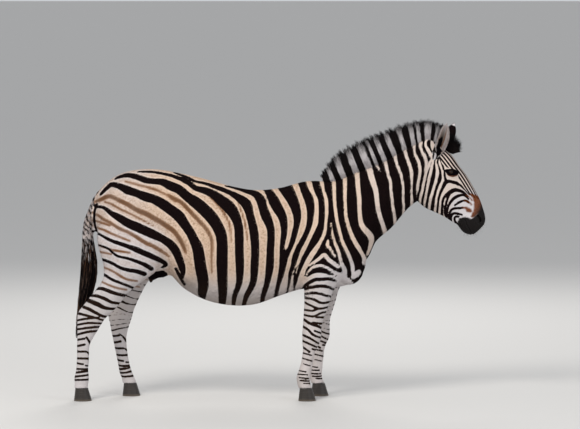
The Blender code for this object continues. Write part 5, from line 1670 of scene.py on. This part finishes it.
def skin_samples(count, weight):
    """Roots spread over the skin, thickest where weight says, with the marks they grow from."""
    skin_mesh.calc_loop_triangles()
    threes = read(skin_mesh.loop_triangles, "vertices", np.int32, 3)
    owners = read(skin_mesh.loop_triangles, "polygon_index", np.int32)
    points, normals = points_of(skin_mesh), normals_of(skin_mesh)
    a, b, c = (points[threes[:, k]] for k in range(3))
    area = np.linalg.norm(np.cross(b - a, c - a), axis=1) / 2
    share = area * weight((a + b + c) / 3, unit(np.cross(b - a, c - a)))
    chosen = np.searchsorted(np.cumsum(share / share.sum()), chance.random(count))
    chosen = np.minimum(chosen, len(threes) - 1)
    r, s = np.sqrt(chance.random(count)), chance.random(count)
    mix = np.stack([1 - r, r * (1 - s), r * s], 1)
    corners = threes[chosen]
    roots = (points[corners] * mix[..., None]).sum(1)
    upright = unit((normals[corners] * mix[..., None]).sum(1))
    layers = {name: read(skin_mesh.attributes[name].data, "value") for name in MARK_NAMES}
    marks = {name: (values[corners] * mix).sum(1) for name, values in layers.items()}
    return roots, upright, marks, face_uvs[owners[chosen]]


def lie_of_hair(roots, upright):
    """Which way the coat lies: back along the body, down the legs and down the face."""
    x, _, z = roots.T
    leg = fade(z, 0.60, 0.78)[:, None]
    neck = smooth_step(x, 0.28, 0.52)[:, None]
    face = (smooth_step(x, 0.88, 0.98) * fade(z, 1.46, 1.50))[:, None]
    ear = smooth_step(z - 0.3 * x, 1.19, 1.22)[:, None] * (x > 0.86)[:, None]
    lie = np.array((-0.88, 0, -0.42)) * (1 - neck) + np.array((-0.42, 0, -0.88)) * neck
    lie = lie * (1 - leg) + np.array((-0.10, 0, -1.0)) * leg
    lie = lie * (1 - face) + np.array((0.38, 0, -0.90)) * face
    lie = lie * (1 - ear) + np.array((0.20, 0, 0.95)) * ear
    swirl = np.stack([np.sin(z * 21 + x * 9), np.sin(x * 17), np.sin(x * 23 - z * 8)], 1) * 0.12
    lie = lie + swirl + chance.normal(size=roots.shape) * 0.16
    return unit(lie - upright * (lie * upright).sum(1, keepdims=True))


def tuft_sizes(roots):
    """Length and width of the tufts from place to place."""
    x, _, z = roots.T
    length = 0.0125 + 0.004 * fade(z, 0.66, 0.80) * (np.abs(x + 0.3) < 0.5)
    length = np.where(z < LEG_TOP, 0.0085 - 0.003 * fade(z, 0.10, 0.30), length)
    head = smooth_step(x, 0.84, 0.98)
    length = length * (1 - head) + (0.0060 - 0.0034 * smooth_step(x, 1.00, 1.16)) * head
    return length, length * 0.115 + 0.0003


def edge_on(normals):
    """More tufts where the form turns, above and below as well as at the sides."""
    return 0.55 + 0.45 * (1 - np.abs(normals[:, 1]) ** 1.5)


def make_coat(name, weight):
    count = COAT_TUFTS[name]
    roots, upright, marks, spots = skin_samples(count, weight)
    lie = lie_of_hair(roots, upright)
    length, width = tuft_sizes(roots)
    scatter = 0.7 + 0.6 * chance.random(count)
    lift = (0.075 + 0.10 * chance.random(count) ** 4)[:, None]
    piece = locks(f"coat_{name}", roots - upright * 0.0003, lie + upright * lift, -upright * (lift * 0.6),
                  length * scatter, width * (0.8 + 0.5 * chance.random(count)), coat_tufts_finish, marks,
                  steps=1, thin=0.22, spots=spots)


def face_share(middles, normals):
    """None over the eyes or in the hollows of the ears, fewer on the muzzle."""
    leaf = np.array([EARS["R"][2], EARS["L"][2]])[(middles[:, 1] > 0).astype(int)]
    hollow = (middles[:, 2] > 1.485) & ((normals * leaf).sum(1) > 0.15)
    return (1.0 - near_eyes(middles, 0.027)) * ~hollow * (0.4 + 0.6 * (middles[:, 2] > 1.1))


MARK_NAMES = list(marks_at(points[:4], profile))
coat_tufts_finish = hair_material("coat_tufts_finish", 2.0, 0.0, 0.6, 0.10)
make_coat("barrel", lambda m, n: edge_on(n) * (m[:, 2] >= LEG_TOP) * (m[:, 0] > FLANK) * (m[:, 0] < BREAST))
make_coat("haunch", lambda m, n: edge_on(n) * (m[:, 2] >= LEG_TOP) * (m[:, 0] <= FLANK) * (m[:, 0] > DOCK))
make_coat("neck", lambda m, n: edge_on(n) * (m[:, 2] >= LEG_TOP) * (m[:, 0] >= BREAST) * (m[:, 0] < NAPE))
make_coat("head", lambda m, n: face_share(m, n) * (m[:, 0] >= NAPE))
make_coat("legs", lambda m, n: (m[:, 2] < LEG_TOP) * (m[:, 2] > 0.02))


# ---- Sheath -----------------------------------------------------------------------------
# The stallion's dark sheath: a small fold of bare skin between the thighs, round above and
# coming to a point below.
# (height, middle, half length, half width)
SHEATH_ROWS = [(0.790, -0.752, 0.030, 0.018), (0.765, -0.755, 0.034, 0.022), (0.742, -0.764, 0.027, 0.020),
               (0.724, -0.771, 0.018, 0.015), (0.708, -0.775, 0.011, 0.010), (0.698, -0.776, 0.004, 0.004)]


def make_sheath():
    turns = np.linspace(0, 2 * math.pi, 28, endpoint=False)
    rings = []
    for z, x, long, wide in SHEATH_ROWS:
        rings.append([Vector((x + long * math.cos(a) * (1 + 0.05 * math.sin(5 * a)), wide * math.sin(a), z))
                      for a in turns])
    mark_core(closed_loft("sheath", rings, skin_coat, []), hair_upright=1.0)


make_sheath()


# ---- Lashes and whiskers ----------------------------------------------------------------
# Stiff black lashes along the upper lids, long feelers about lips and chin, and fringes of
# pale hair inside the ears.
LASHES, WHISKERS, FRINGE_LOCKS = 70, 110, 1600
LASH_WIDTH, WHISKER_WIDTH = 0.0007, 0.0004


def make_lashes(label):
    centre, ball, out, long, up = eye_frame(label)
    u = chance.uniform(-0.9, 0.95, LASHES) * LID_HALF_WIDTH
    v = LID_UP * (1 - (u / LID_HALF_WIDTH) ** 2) ** 0.8 + 0.0006
    w = np.sqrt((ball + LID_THICK) ** 2 - u * u - v * v)
    roots = centre + u[:, None] * long + v[:, None] * up + (w - 0.0008)[:, None] * out
    ways = unit(out * 0.9 + up * 0.10 + (u / LID_HALF_WIDTH * 0.4)[:, None] * long)
    bends = -up * 0.55 + chance.normal(size=(LASHES, 3)) * 0.06
    lengths = (0.013 + 0.006 * chance.random(LASHES)) * (1 - 0.4 * np.abs(u) / LID_HALF_WIDTH)
    piece = locks(f"lashes_{label}", roots, ways, bends, lengths, np.full(LASHES, LASH_WIDTH), mane_hair,
                  plain_marks(LASHES, ALL_DARK))


def lip_share(middles, _):
    """Whiskers stand about the lips, most of them low on the chin."""
    return (middles[:, 0] > 1.07) * (middles[:, 2] < 1.10) * (0.2 + (middles[:, 2] < 1.05))


def make_whiskers():
    roots, upright, _, spots = skin_samples(WHISKERS, lip_share)
    ways = unit(upright + np.array((0.15, 0, -0.35)) + chance.normal(size=(WHISKERS, 3)) * 0.15)
    bends = np.tile((0.0, 0.0, -0.25), (WHISKERS, 1))
    piece = locks("whiskers", roots, ways, bends, 0.010 + 0.020 * chance.random(WHISKERS),
                  np.full(WHISKERS, WHISKER_WIDTH), mane_hair, plain_marks(WHISKERS, ALL_DARK), spots=spots)


def make_ear_fringe(side):
    count = FRINGE_LOCKS
    t = chance.random(count) * 0.80 + 0.08
    rear = chance.random(count) < 0.5
    near_edge, far_edge = (0.20 * chance.random(count) ** 1.3 for _ in range(2))
    share = np.where(rear, 0.02 + near_edge, 0.98 - far_edge)
    thin = np.full(count, EAR_WALL * 0.9)
    roots = ear_place(side, t, share, thin)
    upper = ear_place(side, t + 0.06, share, thin)
    middle = ear_place(side, t + 0.05, np.full(count, 0.5), thin)
    rise, inward, opening = unit(upper - roots), unit(middle - roots), unit(np.array(EARS[side][2]))
    ways = unit(rise * 0.75 + inward * 0.30 + opening * 0.34 + chance.normal(size=(count, 3)) * 0.12)
    bends = rise * 0.35 - opening * 0.10
    lengths = (0.017 + 0.015 * chance.random(count)) * (1 - 0.45 * t)
    marks = plain_marks(count, ALL_PALE, 0.70)
    marks["shadow"] = (chance.random(count) - 0.12) * 0.02
    piece = locks(f"ear_fringe_{side}", roots - inward * 0.001, ways, bends, lengths,
                  0.0009 + 0.0008 * chance.random(count), dock_hair, marks, steps=2)


for label in SIDES:
    make_lashes(label)
make_whiskers()
for label in SIDES:
    make_ear_fringe(label)

# ---- Floor, light and camera ------------------------------------------------------------
# A wide pale floor and a soft studio sky of large lamps, seen from the right side at the
# height of the back.
def area_lamp(name, place, target, size, power, tint):
    lamp = bpy.data.lights.new(name, "AREA")
    lamp.shape, lamp.size, lamp.energy, lamp.color = "DISK", size, power, tint
    holder = bpy.data.objects.new(name, lamp)
    holder.location = place
    holder.rotation_euler = (Vector(target) - Vector(place)).to_track_quat("-Z", "Y").to_euler()
    bpy.context.collection.objects.link(holder)


bpy.ops.mesh.primitive_circle_add(vertices=96, radius=3000, fill_type="NGON", location=(0, 0, -0.0005))
floor = bpy.context.object
floor.name = "floor"
pale_floor, _, shader = new_material("pale_floor")
shader.inputs["Base Color"].default_value = (0.62, 0.61, 0.595, 1)
shader.inputs["Roughness"].default_value = 0.9
floor.data.materials.append(pale_floor)
area_lamp("key", (-3.4, -6.0, 7.2), (0, 0, 0.9), 3.5, 520, (1.0, 0.97, 0.92))
area_lamp("fill", (5.5, -6.0, 2.5), (0.2, 0, 0.9), 4.0, 110, (0.93, 0.96, 1.0))
area_lamp("back", (0.5, 6.5, 5.5), (0, 0, 0.9), 4.0, 220, (1.0, 0.98, 0.95))
world = bpy.data.worlds.new("studio")
bpy.context.scene.world = world
world.use_nodes = True
world.node_tree.nodes["Background"].inputs["Color"].default_value = (0.80, 0.82, 0.85, 1)
world.node_tree.nodes["Background"].inputs["Strength"].default_value = 0.72
bpy.context.scene.view_settings.view_transform = "Standard"

CAMERA_FAR, CAMERA_TILT, VIEW_WIDTH = 20.0, math.radians(3.8), 3.48
aim = Vector((0.06, 0.0, 1.107))
lens = bpy.data.cameras.new("camera")
lens.sensor_width = 36.0
lens.lens = lens.sensor_width * CAMERA_FAR / VIEW_WIDTH
camera = bpy.data.objects.new("camera", lens)
camera.location = aim + Vector((0, -math.cos(CAMERA_TILT), math.sin(CAMERA_TILT))) * CAMERA_FAR
camera.rotation_euler = (math.pi / 2 - CAMERA_TILT, 0, 0)
bpy.context.collection.objects.link(camera)
bpy.context.scene.camera = camera
